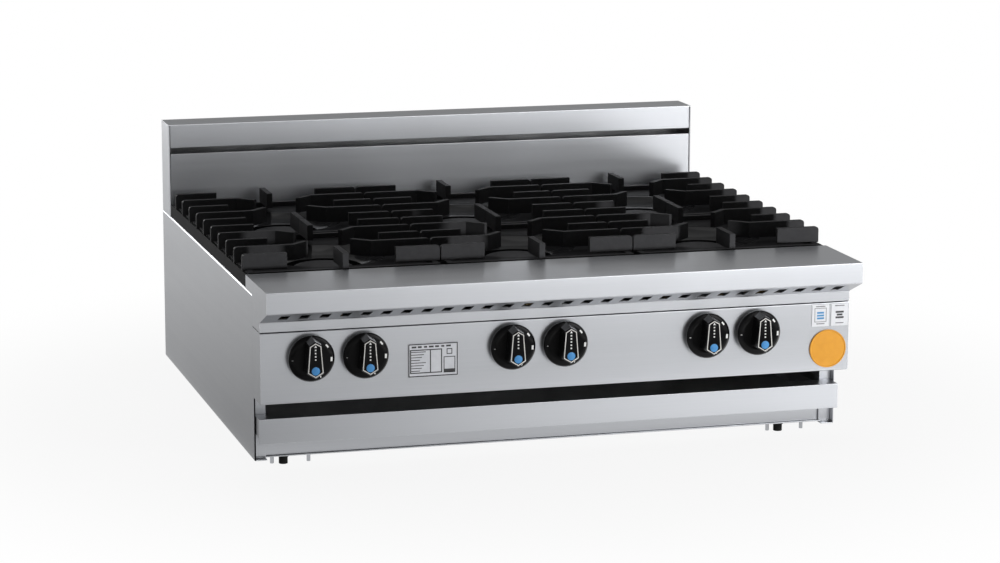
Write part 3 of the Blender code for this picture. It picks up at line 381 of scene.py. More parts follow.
def make_iron():
    """Cast iron under a matt black coat, rubbed grey on the edges."""
    surface, tree, shader, spot = new_finish("cast_iron_black", Specular__IOR__Level=0.02)
    grain = use_group(tree, CAST_GRAIN, Position=spot, Scale=900.0)
    edges = use_group(tree, RUBBED_EDGES, Position=spot, Radius=0.0009)
    coat = blend_colours(tree, grain["Lumps"], *IRON_COLOURS)
    feed(tree, shader, Base__Color=blend_colours(tree, edges["Edges"], coat, IRON_WORN_COLOUR),
         Roughness=spread(tree, grain["Sand"], *IRON_ROUGHNESS))
    raise_by(tree, shader, grain["Sand"], strength=0.12, distance=0.0004)
    return surface


def make_knob_plastic():
    """Hard plastic with a barely visible moulding texture, glossy where it is seen at a slant."""
    surface, tree, shader, spot = new_finish("knob_plastic_black", Specular__IOR__Level=0.08,
                                             Coat__IOR=2.0, Coat__Roughness=0.15)
    patches = use_group(tree, SMUDGES, Position=spot, Scale=40.0)
    edges = use_group(tree, RUBBED_EDGES, Position=spot, Radius=0.0008)
    slant = put(tree, "LayerWeight", Blend=0.5)
    feed(tree, shader, Base__Color=blend_colours(tree, edges["Edges"], KNOB_COLOUR, KNOB_WORN_COLOUR),
         Roughness=spread(tree, patches["Patches"], *KNOB_ROUGHNESS),
         Coat__Weight=ramp(tree, slant.outputs["Facing"], *KNOB_SLANT))
    pores = put(tree, "TexNoise", Vector=spot, Scale=1500.0, Detail=2.0)
    raise_by(tree, shader, pores.outputs[0], strength=0.08, distance=0.0001)
    return surface


TRAY_ENAMEL = make_enamel("black_enamel_tray", True)
FRAME_ENAMEL = make_enamel("black_enamel_frame", False)
IRON = make_iron()
KNOB_PLASTIC = make_knob_plastic()
print("blacks:", TRAY_ENAMEL.name, FRAME_ENAMEL.name, IRON.name, KNOB_PLASTIC.name)

# %% [markdown]
# ### The small finishes
# Rubber, soot, foil, film, ink and the badge's plastic differ only in colour, gloss and the size of their
# patches, so one function makes them all. Turned metal also has tarnish that is rubbed off its edges.

# %% Small finishes
PRINT_PATCHES = 80.0


def make_turned_metal(name, dark, light, roughness):
    """Plain metal off a lathe or a casting, with soft tarnish."""
    surface, tree, shader, spot = new_finish(name, Metallic=1.0)
    patches = use_group(tree, SMUDGES, Position=spot, Scale=45.0)
    edges = use_group(tree, RUBBED_EDGES, Position=spot, Radius=0.0008)
    tarnish = blend_colours(tree, patches["Patches"], light, dark)
    feed(tree, shader, Base__Color=blend_colours(tree, edges["Edges"], tarnish, light),
         Roughness=spread(tree, patches["Patches"], *roughness))
    return surface


def make_mottled(name, clean, touched, roughness, scale, **constants):
    """A nearly even surface whose colour and gloss drift in soft patches."""
    surface, tree, shader, spot = new_finish(name, **constants)
    patches = use_group(tree, SMUDGES, Position=spot, Scale=scale)
    feed(tree, shader, Base__Color=blend_colours(tree, patches["Patches"], clean, touched),
         Roughness=spread(tree, patches["Patches"], *roughness))
    return surface


def make_printed(name, dark, light, roughness, metallic=0.0):
    """A print, film or plastic face with a faint mottle."""
    return make_mottled(name, light, dark, roughness, PRINT_PATCHES, Metallic=metallic)


RUBBER = make_mottled("foot_rubber", (0.007, 0.007, 0.007), (0.014, 0.014, 0.013), (0.65, 0.85),
                      scale=70.0, Specular__IOR__Level=0.1)
SOOT = make_mottled("steel_sooted", (0.30, 0.30, 0.31), (0.40, 0.40, 0.41), (0.28, 0.36),
                    scale=12.0, Metallic=1.0)
SPINDLE_STEEL = make_turned_metal("spindle_steel_turned", (0.42, 0.42, 0.44), (0.62, 0.62, 0.64),
                                  (0.25, 0.4))
BRASS = make_turned_metal("brass_tarnished", (0.45, 0.30, 0.12), (0.72, 0.53, 0.24), (0.28, 0.5))
FOIL = make_printed("plate_foil_matt", (0.50, 0.51, 0.54), (0.55, 0.56, 0.59), (0.38, 0.5), metallic=0.3)
FILM = make_printed("label_film_white", (0.72, 0.73, 0.76), (0.78, 0.79, 0.82), (0.35, 0.5))
ORANGE = make_printed("badge_orange", (0.72, 0.310, 0.014), (0.77, 0.345, 0.020), (0.28, 0.42))
WHITE_INK = make_printed("ink_white", (0.72, 0.72, 0.71), (0.82, 0.82, 0.81), (0.45, 0.6))
BLUE_INK = make_printed("ink_blue", (0.038, 0.22, 0.52), (0.056, 0.28, 0.62), (0.28, 0.4))
BLACK_INK = make_printed("ink_black", (0.020, 0.020, 0.021), (0.032, 0.032, 0.033), (0.5, 0.65))
LABEL_BLUE = make_printed("ink_label_blue", (0.045, 0.22, 0.46), (0.070, 0.27, 0.52), (0.45, 0.6))
GREY_INK = make_printed("ink_grey", (0.17, 0.17, 0.18), (0.23, 0.23, 0.24), (0.5, 0.65))
SILVER_INK = make_printed("ink_silver", (0.50, 0.49, 0.47), (0.62, 0.61, 0.59), (0.32, 0.45), metallic=0.5)
print("small finishes:", len(bpy.data.materials), "materials in all")

# %% [markdown]
# ## Folded sheet
# The solids have razor edges, but a press brake can't make those: a fold of a 1.5 mm sheet has a radius
# of about 2 mm outside, and a cut edge is eased so that it doesn't bite. Each sheet is copied, its loose
# triangles are merged and its flat faces dissolved back into whole panels. Then the long folds are picked
# by place and rounded, and a Bevel modifier eases the rest. The rounded copy stands for the solid.

# %% Copy and soften a solid
MERGE = 0.00001
FLAT_ANGLE = math.radians(0.5)
FOLD_REACH = 0.0002
EDGE_RADIUS = 0.00045
FOLD_RADIUS = 0.0020
FOLD_STEPS = 4


def merged_copy(node):
    """A copy of a solid as one clean mesh with whole flat faces."""
    piece = bpy.data.objects.new(f"{node}_skin", frame["nodes"][node].data.copy())
    bpy.context.scene.collection.objects.link(piece)
    take_up(piece)
    if piece.data.has_custom_normals:
        bpy.ops.mesh.customdata_custom_splitnormals_clear()
    bpy.ops.object.mode_set(mode="EDIT")
    bpy.ops.mesh.select_all(action="SELECT")
    bpy.ops.mesh.remove_doubles(threshold=MERGE)
    bpy.ops.mesh.dissolve_limited(angle_limit=FLAT_ANGLE)
    bpy.ops.object.mode_set(mode="OBJECT")
    return piece


def along(axis, *spots):
    """A rule for edges that run along an axis at given places on the other two axes, in metres."""
    others = [index for index in range(3) if index != axis]

    def rule(edge):
        a, b = (corner.co for corner in edge.verts)
        if any(abs(a[index] - b[index]) > MERGE for index in others):
            return False
        return any(all(abs(a[index] - place) < FOLD_REACH for index, place in zip(others, spot))
                   for spot in spots)

    return rule


def soften(node, surface, folds=None, radius=EDGE_RADIUS, fold_radius=FOLD_RADIUS):
    """Round the folds and edges of a copied solid and let it stand for the solid."""
    piece = merged_copy(node)
    if folds is not None:
        bpy.ops.object.mode_set(mode="EDIT")
        pick(piece, "edges", folds)
        bpy.ops.mesh.bevel(offset=fold_radius, segments=FOLD_STEPS, affect="EDGES", clamp_overlap=True)
        bpy.ops.object.mode_set(mode="OBJECT")
    round_edges(piece, radius)
    return hand_over(piece, NODE_BODY[node], NODE_SLOT[node], surface, node)


print("solids are copied with", MERGE * 1000, "mm merging")

# %% [markdown]
# The casing's sheets come first. The places of the folds are read from the boxes of the nodes, so they
# stay right if the frame changes: the control panel's face, the side sheets' hems, the tray's front bar,
# and the splashback's top and corners. Hot gas rises behind the splashback, so its back sheet is sooted
# inside.

# %% Casing sheets
SIDE_EDGE_RADIUS = 0.0007
HEM_RADIUS = 0.003
TIGHT_FOLD_RADIUS = 0.001
SOOT_LOOKS_FORWARD = -0.9
SOOT_REACH = 0.01


def soot_faces(piece, rule):
    """Give the faces that hot gas has blackened their own finish."""
    piece.data.materials.append(SOOT)
    for face in piece.data.polygons:
        if rule(face):
            face.material_index = 1


def soften_casing():
    """Rounded copies of all the folded sheets of the casing."""
    made = []
    for side in SIDES:
        low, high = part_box(f"{side}_side_panel")
        outer = low.x if side == "left" else high.x
        hems = along(1, (outer, high.z), (outer, low.z))
        made.append(soften(f"{side}_side_panel", STEEL_Y, hems, SIDE_EDGE_RADIUS, HEM_RADIUS))
        made.append(soften(f"{side}_post", STEEL_X))
        made.append(soften(f"{side}_tray_runner", STEEL_X))
    low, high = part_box("control_panel")
    made.append(soften("control_panel", STEEL_X, along(0, (low.y, low.z), (low.y, high.z))))
    low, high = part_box("drip_tray_front")
    lip = along(0, (low.y, high.z))
    made.append(soften("drip_tray_front", STEEL_X, lip, fold_radius=TIGHT_FOLD_RADIUS))
    low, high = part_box("splashback_top")
    nose = along(0, (low.y, high.z), (low.y, low.z))
    made.append(soften("splashback_top", STEEL_X, nose, fold_radius=TIGHT_FOLD_RADIUS))
    made.append(soften("splashback_front", STEEL_X))
    low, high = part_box("splashback_shell")
    corners = [(x, y) for x in (low.x, high.x) for y in (low.y, high.y)]
    made.append(soften("splashback_shell", STEEL_X, along(2, *corners)))
    soot_faces(made[-1], lambda face: face.normal.y < SOOT_LOOKS_FORWARD
               and face.center.y > high.y - SOOT_REACH)
    for node in ("base_front_panel", "rear_panel", "base_pan", "drip_tray"):
        made.append(soften(node, STEEL_X))
    return made


CASING = soften_casing()
print("casing sheets:", len(CASING))

# %% [markdown]
# The front ledge is one long folded sheet: a flat top, an upright nose, a sloping vented underside and a
# short return. The three long folds round its nose and its slope are what the eye follows across the
# picture.

# %% Front ledge
LEDGE_FACE = 0.031
LEDGE_DROP = 0.021
LEDGE_FOLD_RADIUS = 0.0012


def soften_ledge():
    """The ledge with its nose, slope and return folds rounded."""
    low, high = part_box("front_ledge")
    panel_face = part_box("control_panel")[0].y
    nose = high.z - LEDGE_FACE
    folds = along(0, (low.y, high.z), (low.y, nose), (panel_face, nose - LEDGE_DROP))
    return soften("front_ledge", STEEL_X, folds, fold_radius=LEDGE_FOLD_RADIUS)


LEDGE = soften_ledge()
print("ledge faces:", len(LEDGE.data.polygons))

# %% [markdown]
# ## Hob
# Each column of burners has one pressed spill tray: a rim, a flat land and two dished wells that fall to
# a round hole for the burner. A pressing has no facets, so the tray is modelled again, half at a time. A
# plane is inset for the rim, and its inside is bridged to the well's edge and from there to the hole. The
# loops between are dished, the hole is drawn down into a collar, and the two halves are joined and given
# their thickness.

# %% Spill trays
SPILL_RIM = 0.010
WELL_EDGE = 0.095
WELL_LIP = 0.0005
WELL_RADIUS = 0.058
WELL_DROP = 0.016
WELL_COLLAR = 0.0087
WELL_POINTS = 64
WELL_LOOPS = 7
WELL_CURVE = 1.4
WELL_TURN = (0, 0, math.pi / 4)
SPILL_SHEET = 0.0015
SPILL_EDGE_RADIUS = 0.0005
SPILL_SHARP = 50.0
HALVES_MERGE = 0.00005


def press_well(column_x, y_span, row_y, half_width, top):
    """One half of a spill tray as a sheet: rim, land, dished well and collar."""
    bpy.ops.object.select_all(action="DESELECT")
    middle = (y_span[0] + y_span[1]) / 2
    bpy.ops.mesh.primitive_plane_add(size=1.0, location=(column_x, middle, top))
    piece = bpy.context.object
    piece.scale = (2 * half_width, y_span[1] - y_span[0], 1.0)
    bpy.ops.object.transform_apply(location=True, rotation=True, scale=True)
    bpy.ops.object.mode_set(mode="EDIT")
    bpy.ops.mesh.select_all(action="SELECT")
    bpy.ops.mesh.inset(thickness=SPILL_RIM)
    bpy.ops.mesh.delete(type="ONLY_FACE")
    inner = half_width - SPILL_RIM + MERGE

    def inside(edge):
        return all(abs(corner.co.x - column_x) < inner for corner in edge.verts)

    pick(piece, "edges", inside)
    bpy.ops.mesh.subdivide(number_cuts=WELL_POINTS // 4 - 1)
    for radius, drop, cuts in ((WELL_EDGE, WELL_LIP, 0), (WELL_RADIUS, WELL_DROP, WELL_LOOPS)):
        bpy.ops.mesh.primitive_circle_add(vertices=WELL_POINTS, radius=radius, rotation=WELL_TURN,
                                          location=(column_x, row_y, top - drop))
        pick(piece, "edges", lambda edge: edge.is_wire or (edge.is_boundary and inside(edge)))
        bpy.ops.mesh.bridge_edge_loops(number_cuts=cuts)
        inner = WELL_EDGE + MERGE
    shape = bmesh.from_edit_mesh(piece.data)
    for corner in shape.verts:
        share = min(1.0, max(0.0, (top - corner.co.z) / WELL_DROP))
        corner.co.z = top - WELL_DROP * (1 - (1 - share) ** WELL_CURVE)
    bmesh.update_edit_mesh(piece.data)
    floor = top - WELL_DROP + MERGE
    pick(piece, "edges", lambda edge: edge.is_boundary and all(v.co.z < floor for v in edge.verts))
    extrude((0, 0, -WELL_COLLAR))
    bpy.ops.object.mode_set(mode="OBJECT")
    return piece


def make_spill_tray(column):
    """Two wells joined along their shared rim and given the thickness of the sheet."""
    low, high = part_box(f"spill_tray_{column}")
    centre_x = (low.x + high.x) / 2
    rows = [middle_of(f"burner_cap_{row}_{column}").y for row in ROWS]
    split = sum(rows) / 2
    half = (high.x - low.x) / 2
    halves = [press_well(centre_x, span, row_y, half, high.z)
              for span, row_y in zip(((low.y, split), (split, high.y)), rows)]
    tray = halves[0]
    take_up(tray)
    halves[1].select_set(True)
    bpy.ops.object.join()
    tray.name = f"spill_tray_{column}_skin"
    bpy.ops.object.mode_set(mode="EDIT")
    bpy.ops.mesh.select_all(action="SELECT")
    bpy.ops.mesh.remove_doubles(threshold=HALVES_MERGE)
    bpy.ops.mesh.normals_make_consistent(inside=False)
    bpy.ops.object.mode_set(mode="OBJECT")
    if sum(face.normal.z * face.area for face in tray.data.polygons) < 0:
        tray.data.flip_normals()
    apply_modifier(tray, "SOLIDIFY", thickness=SPILL_SHEET, offset=-1.0, use_even_offset=True)
    round_edges(tray, SPILL_EDGE_RADIUS, angle=SPILL_SHARP)
    return hand_over(tray, "casing", "black_enamel", TRAY_ENAMEL, f"spill_tray_{column}")


SPILL_TRAYS = [make_spill_tray(column) for column in COLUMNS]
soften("hob_frame", FRAME_ENAMEL)
print("spill trays:", [len(tray.data.polygons) for tray in SPILL_TRAYS], "faces")

# %% [markdown]
# Trivets are sand castings, so no edge is quite sharp and no face is quite flat. A small bevel does for
# the edges and the grain in the material for the faces. The burner heads and caps are castings too; the
# caps are turned again with more steps, because their round rims show.

# %% Trivets and burners
TRIVET_EDGE_RADIUS = 0.0004
BURNER_EDGE_RADIUS = 0.0006
CAP_BORE = 0.0314
CAP_SPIGOT = 0.0354
CAP_SEAT = 0.005
CAP_ROLL = (0.0138, 0.0045)
CAP_ROLL_STEPS = 6
CAP_EDGE_RADIUS = 0.0006
CAP_SHARP = 40.0


def turned(name, centre, axis, profile, steps=64):
    """Turn a profile of (radius, place along the axis): a circle is extruded and scaled, ring by ring."""
    bpy.ops.object.select_all(action="DESELECT")
    direction = Vector((0, 0, 1)) if axis == "Z" else Vector((0, 1, 0))
    tilt = (0, 0, 0) if axis == "Z" else (-math.pi / 2, 0, 0)
    radius, place = profile[0]
    middle = Vector(centre)
    bpy.ops.mesh.primitive_circle_add(vertices=steps, radius=radius, location=middle + direction * place,
                                      rotation=tilt, fill_type="NGON")
    piece = bpy.context.object
    piece.name = name
    bpy.ops.object.transform_apply(location=True, rotation=True, scale=True)
    bpy.ops.object.mode_set(mode="EDIT")
    bpy.ops.mesh.select_all(action="SELECT")
    for (radius, place), (next_radius, next_place) in zip(profile, profile[1:]):
        extrude(direction * (next_place - place))
        share = next_radius / radius
        size = (share, share, 1) if axis == "Z" else (share, 1, share)
        bpy.ops.transform.resize(value=size, center_override=middle + direction * next_place)
    bpy.ops.mesh.select_all(action="SELECT")
    bpy.ops.mesh.normals_make_consistent(inside=False)
    bpy.ops.object.mode_set(mode="OBJECT")
    return piece


def rolled_rim(radius, end, inward, back, steps):
    """Profile points of a rim that rolls over, in a quarter of an ellipse, from its side to its end."""
    angles = [math.pi / 2 * step / steps for step in range(steps + 1)]
    return [(radius - inward * (1 - math.cos(t)), end - back * (1 - math.sin(t))) for t in angles]


def cast_burner_caps():
    """One cap turned on the first burner and copied to the others."""
    low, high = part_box(f"burner_cap_{BURNERS[0]}")
    centre = middle_of(f"burner_cap_{BURNERS[0]}")
    rim = (high.x - low.x) / 2
    seat = low.z + CAP_SEAT
    profile = [(CAP_BORE, low.z), (CAP_SPIGOT, low.z), (CAP_SPIGOT, seat), (rim, seat)]
    profile += rolled_rim(rim, high.z, *CAP_ROLL, CAP_ROLL_STEPS)
    cap = turned("burner_cap_blank", (centre.x, centre.y, 0.0), "Z", profile)
    round_edges(cap, CAP_EDGE_RADIUS, angle=CAP_SHARP)
    for burner in BURNERS:
        twin = copy_to(cap, f"burner_cap_{burner}_skin", middle_of(f"burner_cap_{burner}") - centre)
        shade(twin, CAP_SHARP)
        hand_over(twin, f"burner_cap_{burner}", "cast_iron", IRON, f"burner_cap_{burner}")
    bpy.data.objects.remove(cap)


for burner in BURNERS:
    soften(f"trivet_{burner}", IRON, radius=TRIVET_EDGE_RADIUS)
    soften(f"burner_{burner}", IRON, radius=BURNER_EDGE_RADIUS)
cast_burner_caps()
print("castings done for", len(BURNERS), "burners")

# %% [markdown]
# ## Knobs
# A knob is a round skirt with a raised grip whose front is a long pointed hexagon. The skirt is turned.
# The grip starts as a six-sided circle whose corners are moved into the long hexagon. It is drawn forward
# from a wider base that leans, so that its sides and its top slope, and a chamfer runs round its face. A
# silver line follows the edge of the face, and a pointer, a ladder of plain marks and a blue dot are
# printed inside it. All of these ride on the knob's own body.

# %% Knob body
KNOB_STANDOFF = 0.0036
KNOB_SKIRT = 0.0104
KNOB_GRIP = 0.024
KNOB_RADIUS = 0.034
KNOB_ROLL = (0.010, 0.0042)
KNOB_ROLL_STEPS = 8
KNOB_LAND = 0.0012
KNOB_TAPER = 0.0026
KNOB_POINTS = 72
KNOB_EDGE_RADIUS = 0.0006
KNOB_SHARP = 28.0
GRIP_LENGTH = 0.054
GRIP_LOW_WIDTH = 0.0242
GRIP_HIGH_WIDTH = 0.0176
GRIP_LOW_POINT = 0.0074
GRIP_HIGH_POINT = 0.0052
GRIP_RISE = 0.0028
GRIP_FLARE = 1.2
GRIP_LEAN = 1.07
GRIP_CHAMFER = 0.0015
GRIP_FACE_SHARE = 0.93
PANEL_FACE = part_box("control_panel")[0].y
SKIRT_FACE = PANEL_FACE - KNOB_STANDOFF - KNOB_SKIRT
GRIP_FACE = SKIRT_FACE - KNOB_GRIP


def knob_axis(burner):
    """Where a knob's axis meets the panel's face."""
    middle = middle_of(f"spindle_{burner}")
    return Vector((middle.x, PANEL_FACE, middle.z))


def hexagon(name, middle, share):
    """The long pointed hexagon of the grip as one face that looks forward."""
    bpy.ops.object.select_all(action="DESELECT")
    radius = GRIP_LENGTH / 2
    bpy.ops.mesh.primitive_circle_add(vertices=6, radius=radius, fill_type="NGON", rotation=FORWARD,
                                      location=middle)
    piece = bpy.context.object
    piece.name = name
    bpy.ops.object.transform_apply(location=True, rotation=True, scale=True)
    bpy.ops.object.mode_set(mode="EDIT")
    corner_x = radius * math.cos(math.pi / 6)
    corner_z = radius * math.sin(math.pi / 6)
    for side, width, point in ((1, GRIP_HIGH_WIDTH, GRIP_HIGH_POINT), (-1, GRIP_LOW_WIDTH, GRIP_LOW_POINT)):
        pick(piece, "verts", lambda v: abs(v.co.x - middle.x) > MERGE and side * (v.co.z - middle.z) > 0)
        bpy.ops.transform.resize(value=(width / 2 / corner_x, 1, 1), center_override=middle)
        bpy.ops.transform.translate(value=(0, 0, side * (radius - point - corner_z)))
    bpy.ops.mesh.select_all(action="SELECT")
    bpy.ops.transform.resize(value=(share, 1, share), center_override=middle)
    return piece


def mould_knob(burner):
    """Skirt and grip joined into one knob."""
    axis = knob_axis(burner)
    back = -KNOB_STANDOFF
    face = back - KNOB_SKIRT
    inward, roll = KNOB_ROLL
    profile = [(KNOB_RADIUS - KNOB_TAPER, back), (KNOB_RADIUS, face + roll + KNOB_LAND)]
    profile += rolled_rim(KNOB_RADIUS, face, inward, -roll, KNOB_ROLL_STEPS)
    skirt = turned("knob_blank", axis, "Y", profile, KNOB_POINTS)
    middle = Vector((axis.x, SKIRT_FACE + KNOB_SKIRT / 2, axis.z + GRIP_RISE))
    grip = hexagon("grip_blank", middle, 1.0)
    heel = middle - Vector((0, 0, GRIP_LENGTH / 2))
    bpy.ops.transform.resize(value=(GRIP_FLARE, 1, GRIP_LEAN), center_override=heel)
    extrude((0, GRIP_FACE + GRIP_CHAMFER - middle.y, 0))
    bpy.ops.transform.resize(value=(1 / GRIP_FLARE, 1, 1 / GRIP_LEAN), center_override=heel)
    extrude((0, -GRIP_CHAMFER, 0))
    bpy.ops.transform.resize(value=(GRIP_FACE_SHARE, 1, GRIP_FACE_SHARE), center_override=middle)
    bpy.ops.mesh.select_all(action="SELECT")
    bpy.ops.mesh.normals_make_consistent(inside=False)
    bpy.ops.object.mode_set(mode="OBJECT")
    apply_modifier(skirt, "BOOLEAN", operation="UNION", object=grip)
    bpy.data.objects.remove(grip)
    round_edges(skirt, KNOB_EDGE_RADIUS, steps=3, angle=KNOB_SHARP)
    return skirt


MASTER = BURNERS[0]
KNOB_BLANK = mould_knob(MASTER)
print("knob faces:", len(KNOB_BLANK.data.polygons))

# %% [markdown]
# The print on a knob is thin, but it has a real thickness so that it survives as geometry. The silver
# line is a hexagon inset twice, with the outside and the middle deleted. The pointer is a three-sided
# circle and the marks below it are planes, all added inside one mesh and extruded by the thickness of
# paint. The marks on the rim lie on a curved skirt, so they are wrapped onto it with a Shrinkwrap
# modifier first.

# %% Knob print
PAINT = 0.00015
LINE_WIDTH = 0.0012
LINE_INSET = 0.0009
DOT_RADIUS = 0.0060
DOT_DROP = 0.0155
DOT_POINTS = 40
DOT_SHARP = 40.0
POINTER_RISE = 0.0200
POINTER_RADIUS = 0.0023
RUNGS = {"front": 5, "rear": 4}
RUNG_SIZE = (0.0022, 0.0020)
RUNG_TOP = 0.0152
RUNG_PITCH = 0.0047
RIM_MARK_RADIUS = 0.0286
RIM_MARK_CUTS = 5
RIM_MARKS = (
    # degrees round the skirt from the top, width, height
    (51, 0.0055, 0.0024),
    (93, 0.0062, 0.0030),
    (155, 0.0016, 0.0034),
    (268, 0.0009, 0.0022),
)
SPINDLE_EDGE_RADIUS = 0.0004


def empty_mesh(name):
    """A new empty mesh object, opened in edit mode, for primitives to be added to."""
    piece = bpy.data.objects.new(name, bpy.data.meshes.new(name))
    bpy.context.scene.collection.objects.link(piece)
    take_up(piece)
    bpy.ops.object.mode_set(mode="EDIT")
    return piece


def add_plane(x, y, z, width, height, turn=0.0):
    """In edit mode, add a forward-looking rectangle of this size at this place."""
    place = (x, y, z)
    bpy.ops.mesh.primitive_plane_add(size=1.0, location=place, rotation=(math.pi / 2, turn, 0))
    bpy.ops.transform.rotate(value=turn, orient_axis="Y", center_override=place)
    bpy.ops.transform.resize(value=(width, 1, height), center_override=place)
    bpy.ops.transform.rotate(value=-turn, orient_axis="Y", center_override=place)


def thicken(piece):
    """Extrude everything in a flat forward-looking mesh towards the viewer by the thickness of paint."""
    bpy.ops.mesh.select_all(action="SELECT")
    extrude((0, -PAINT, 0))
    bpy.ops.mesh.select_all(action="SELECT")
    bpy.ops.mesh.normals_make_consistent(inside=False)
    bpy.ops.object.mode_set(mode="OBJECT")
    return piece


def print_line(middle):
    """Silver line round the face of the grip."""
    line = hexagon("knob_line_blank", middle, GRIP_FACE_SHARE)
    bpy.ops.mesh.inset(thickness=LINE_INSET)
    bpy.ops.mesh.select_all(action="INVERT")
    bpy.ops.mesh.delete(type="FACE")
    bpy.ops.mesh.select_all(action="SELECT")
    bpy.ops.mesh.inset(thickness=LINE_WIDTH)
    bpy.ops.mesh.delete(type="FACE")
    return thicken(line)


def print_marks(middle, row):
    """White pointer and ladder of plain marks on the face of the grip."""
    marks = empty_mesh(f"knob_marks_{row}_blank")
    bpy.ops.mesh.primitive_circle_add(vertices=3, radius=POINTER_RADIUS, fill_type="NGON", rotation=FORWARD,
                                      location=middle + Vector((0, 0, POINTER_RISE)))
    for rung in range(RUNGS[row]):
        add_plane(middle.x, middle.y, middle.z + RUNG_TOP - rung * RUNG_PITCH, *RUNG_SIZE)
    return thicken(marks)


def print_rim(axis, knob):
    """White marks wrapped onto the rounded rim of the skirt."""
    rim = empty_mesh("knob_rim_blank")
    for degrees, width, height in RIM_MARKS:
        turn = math.radians(degrees)
        add_plane(axis.x + RIM_MARK_RADIUS * math.sin(turn), GRIP_FACE,
                  axis.z + RIM_MARK_RADIUS * math.cos(turn), width, height, turn)
    bpy.ops.mesh.select_all(action="SELECT")
    bpy.ops.mesh.subdivide(number_cuts=RIM_MARK_CUTS)
    bpy.ops.object.mode_set(mode="OBJECT")
    apply_modifier(rim, "SHRINKWRAP", target=knob, wrap_method="PROJECT", use_project_y=True,
                   use_project_z=False, use_positive_direction=True, offset=PAINT / 3)
    bpy.ops.object.mode_set(mode="EDIT")
    return thicken(rim)


def print_dot(middle):
    """Plain blue dot at the lower end of the grip, its edge eased."""
    profile = [(DOT_RADIUS, 0.0), (DOT_RADIUS, -2 * PAINT), (DOT_RADIUS - 2 * PAINT, -3 * PAINT)]
    dot = turned("knob_dot_blank", middle - Vector((0, 0, DOT_DROP)), "Y", profile, DOT_POINTS)
    shade(dot, DOT_SHARP)
    return dot


def make_knobs():
    """Model one knob and its print, then copy them to the six spindles."""
    axis = knob_axis(MASTER)
    middle = Vector((axis.x, GRIP_FACE, axis.z + GRIP_RISE))
    line = print_line(middle)
    dot = print_dot(middle)
    rim = print_rim(axis, KNOB_BLANK)
    marks = {row: print_marks(middle, row) for row in ROWS}
    for burner in BURNERS:
        offset = knob_axis(burner) - axis
        body = f"knob_{burner}"
        hand_over(copy_to(KNOB_BLANK, f"{body}_skin", offset), body, "black_plastic", KNOB_PLASTIC, body)
        prints = (
            ("line", line, "plate_foil", SILVER_INK),
            ("rim_marks", rim, "white_ink", WHITE_INK),
            ("marks", marks[burner.split("_")[0]], "white_ink", WHITE_INK),
            ("dot", dot, "blue_ink", BLUE_INK),
        )
        for label, blank, slot, ink in prints:
            hand_over(copy_to(blank, f"{body}_{label}", offset), body, slot, ink)
        soften(f"spindle_{burner}", SPINDLE_STEEL, radius=SPINDLE_EDGE_RADIUS)
    for blank in (KNOB_BLANK, line, dot, rim, *marks.values()):
        bpy.data.objects.remove(blank)


make_knobs()
print("knobs:", len(BURNERS))

# %% [markdown]
# ## Plates, labels and the badge
# The rating plate is thin foil with a printed form on it: a border, a row of dashes, a table with a
# column of short lines, a small square, and a box with a dark block. It says nothing. Each box is a plane
# that is inset and loses its middle, and all of them share one mesh, because they are one print. The plate
# and the two labels are so thin that their edges are only just eased.

# %% Rating plate
PLATE_BOXES = (
    # across and up from the plate's middle, width, height, thickness of the line
    (0.0, 0.0, 0.0740, 0.0490, 0.0016),
    (-0.0105, -0.0017, 0.0480, 0.0355, 0.0016),
    (0.0245, -0.0080, 0.0175, 0.0240, 0.0012),
    (0.0245, 0.0115, 0.0085, 0.0085, 0.0013),
)
PLATE_BARS = (
    # across and up from the plate's middle, width, height
    (-0.0040, -0.0017, 0.0016, 0.0340),
    (0.0245, -0.0172, 0.0160, 0.0054),
)
DASHES = 7
DASH_PLACE = (-0.0285, 0.0197)
DASH_PITCH = 0.0086
DASH_SIZE = (0.0070, 0.0026)
DASH_SHORTER = 0.0012
DASH_CYCLE = 3
ENTRIES = 8
ENTRY_PLACE = (-0.0328, 0.0123)
ENTRY_PITCH = 0.0040
ENTRY_SIZE = (0.0220, 0.0011)
ENTRY_SHORTER = 0.0030
ENTRY_CYCLE = 4
PLATE_EDGE_RADIUS = 0.0002
LABEL_EDGE_RADIUS = 0.0001


def add_frame(x, y, z, width, height, line):
    """In edit mode, add a rectangular outline made by insetting a plane and deleting its middle."""
    add_plane(x, y, z, width, height)
    bpy.ops.mesh.inset(thickness=line)
    bpy.ops.mesh.delete(type="FACE")


def print_plate():
    """The form printed on the rating plate."""
    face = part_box("rating_plate")[0].y
    centre = middle_of("rating_plate")
    ink = empty_mesh("rating_plate_print")
    for across, up, width, height, line in PLATE_BOXES:
        add_frame(centre.x + across, face, centre.z + up, width, height, line)
    for across, up, width, height in PLATE_BARS:
        add_plane(centre.x + across, face, centre.z + up, width, height)
    for dash in range(DASHES):
        width = DASH_SIZE[0] - DASH_SHORTER * (dash % DASH_CYCLE)
        across = DASH_PLACE[0] + dash * DASH_PITCH
        add_plane(centre.x + across, face, centre.z + DASH_PLACE[1], width, DASH_SIZE[1])
    for entry in range(ENTRIES):
        width = ENTRY_SIZE[0] - ENTRY_SHORTER * (entry % ENTRY_CYCLE)
        up = ENTRY_PLACE[1] - entry * ENTRY_PITCH
        add_plane(centre.x + ENTRY_PLACE[0] + width / 2, face, centre.z + up, width, ENTRY_SIZE[1])
    return hand_over(thicken(ink), "casing", "black_ink", BLACK_INK)


soften("rating_plate", FOIL, radius=PLATE_EDGE_RADIUS)
for side in SIDES:
    soften(f"label_{side}", FILM, radius=LABEL_EDGE_RADIUS)
print("plate print faces:", len(print_plate().data.polygons))

# %% [markdown]
# The two labels are white film with short grey lines and three plain bars of colour, and one has a thin
# border. They say nothing either. The badge is a moulded disc with a raised rim, turned like the knob's
# skirt.

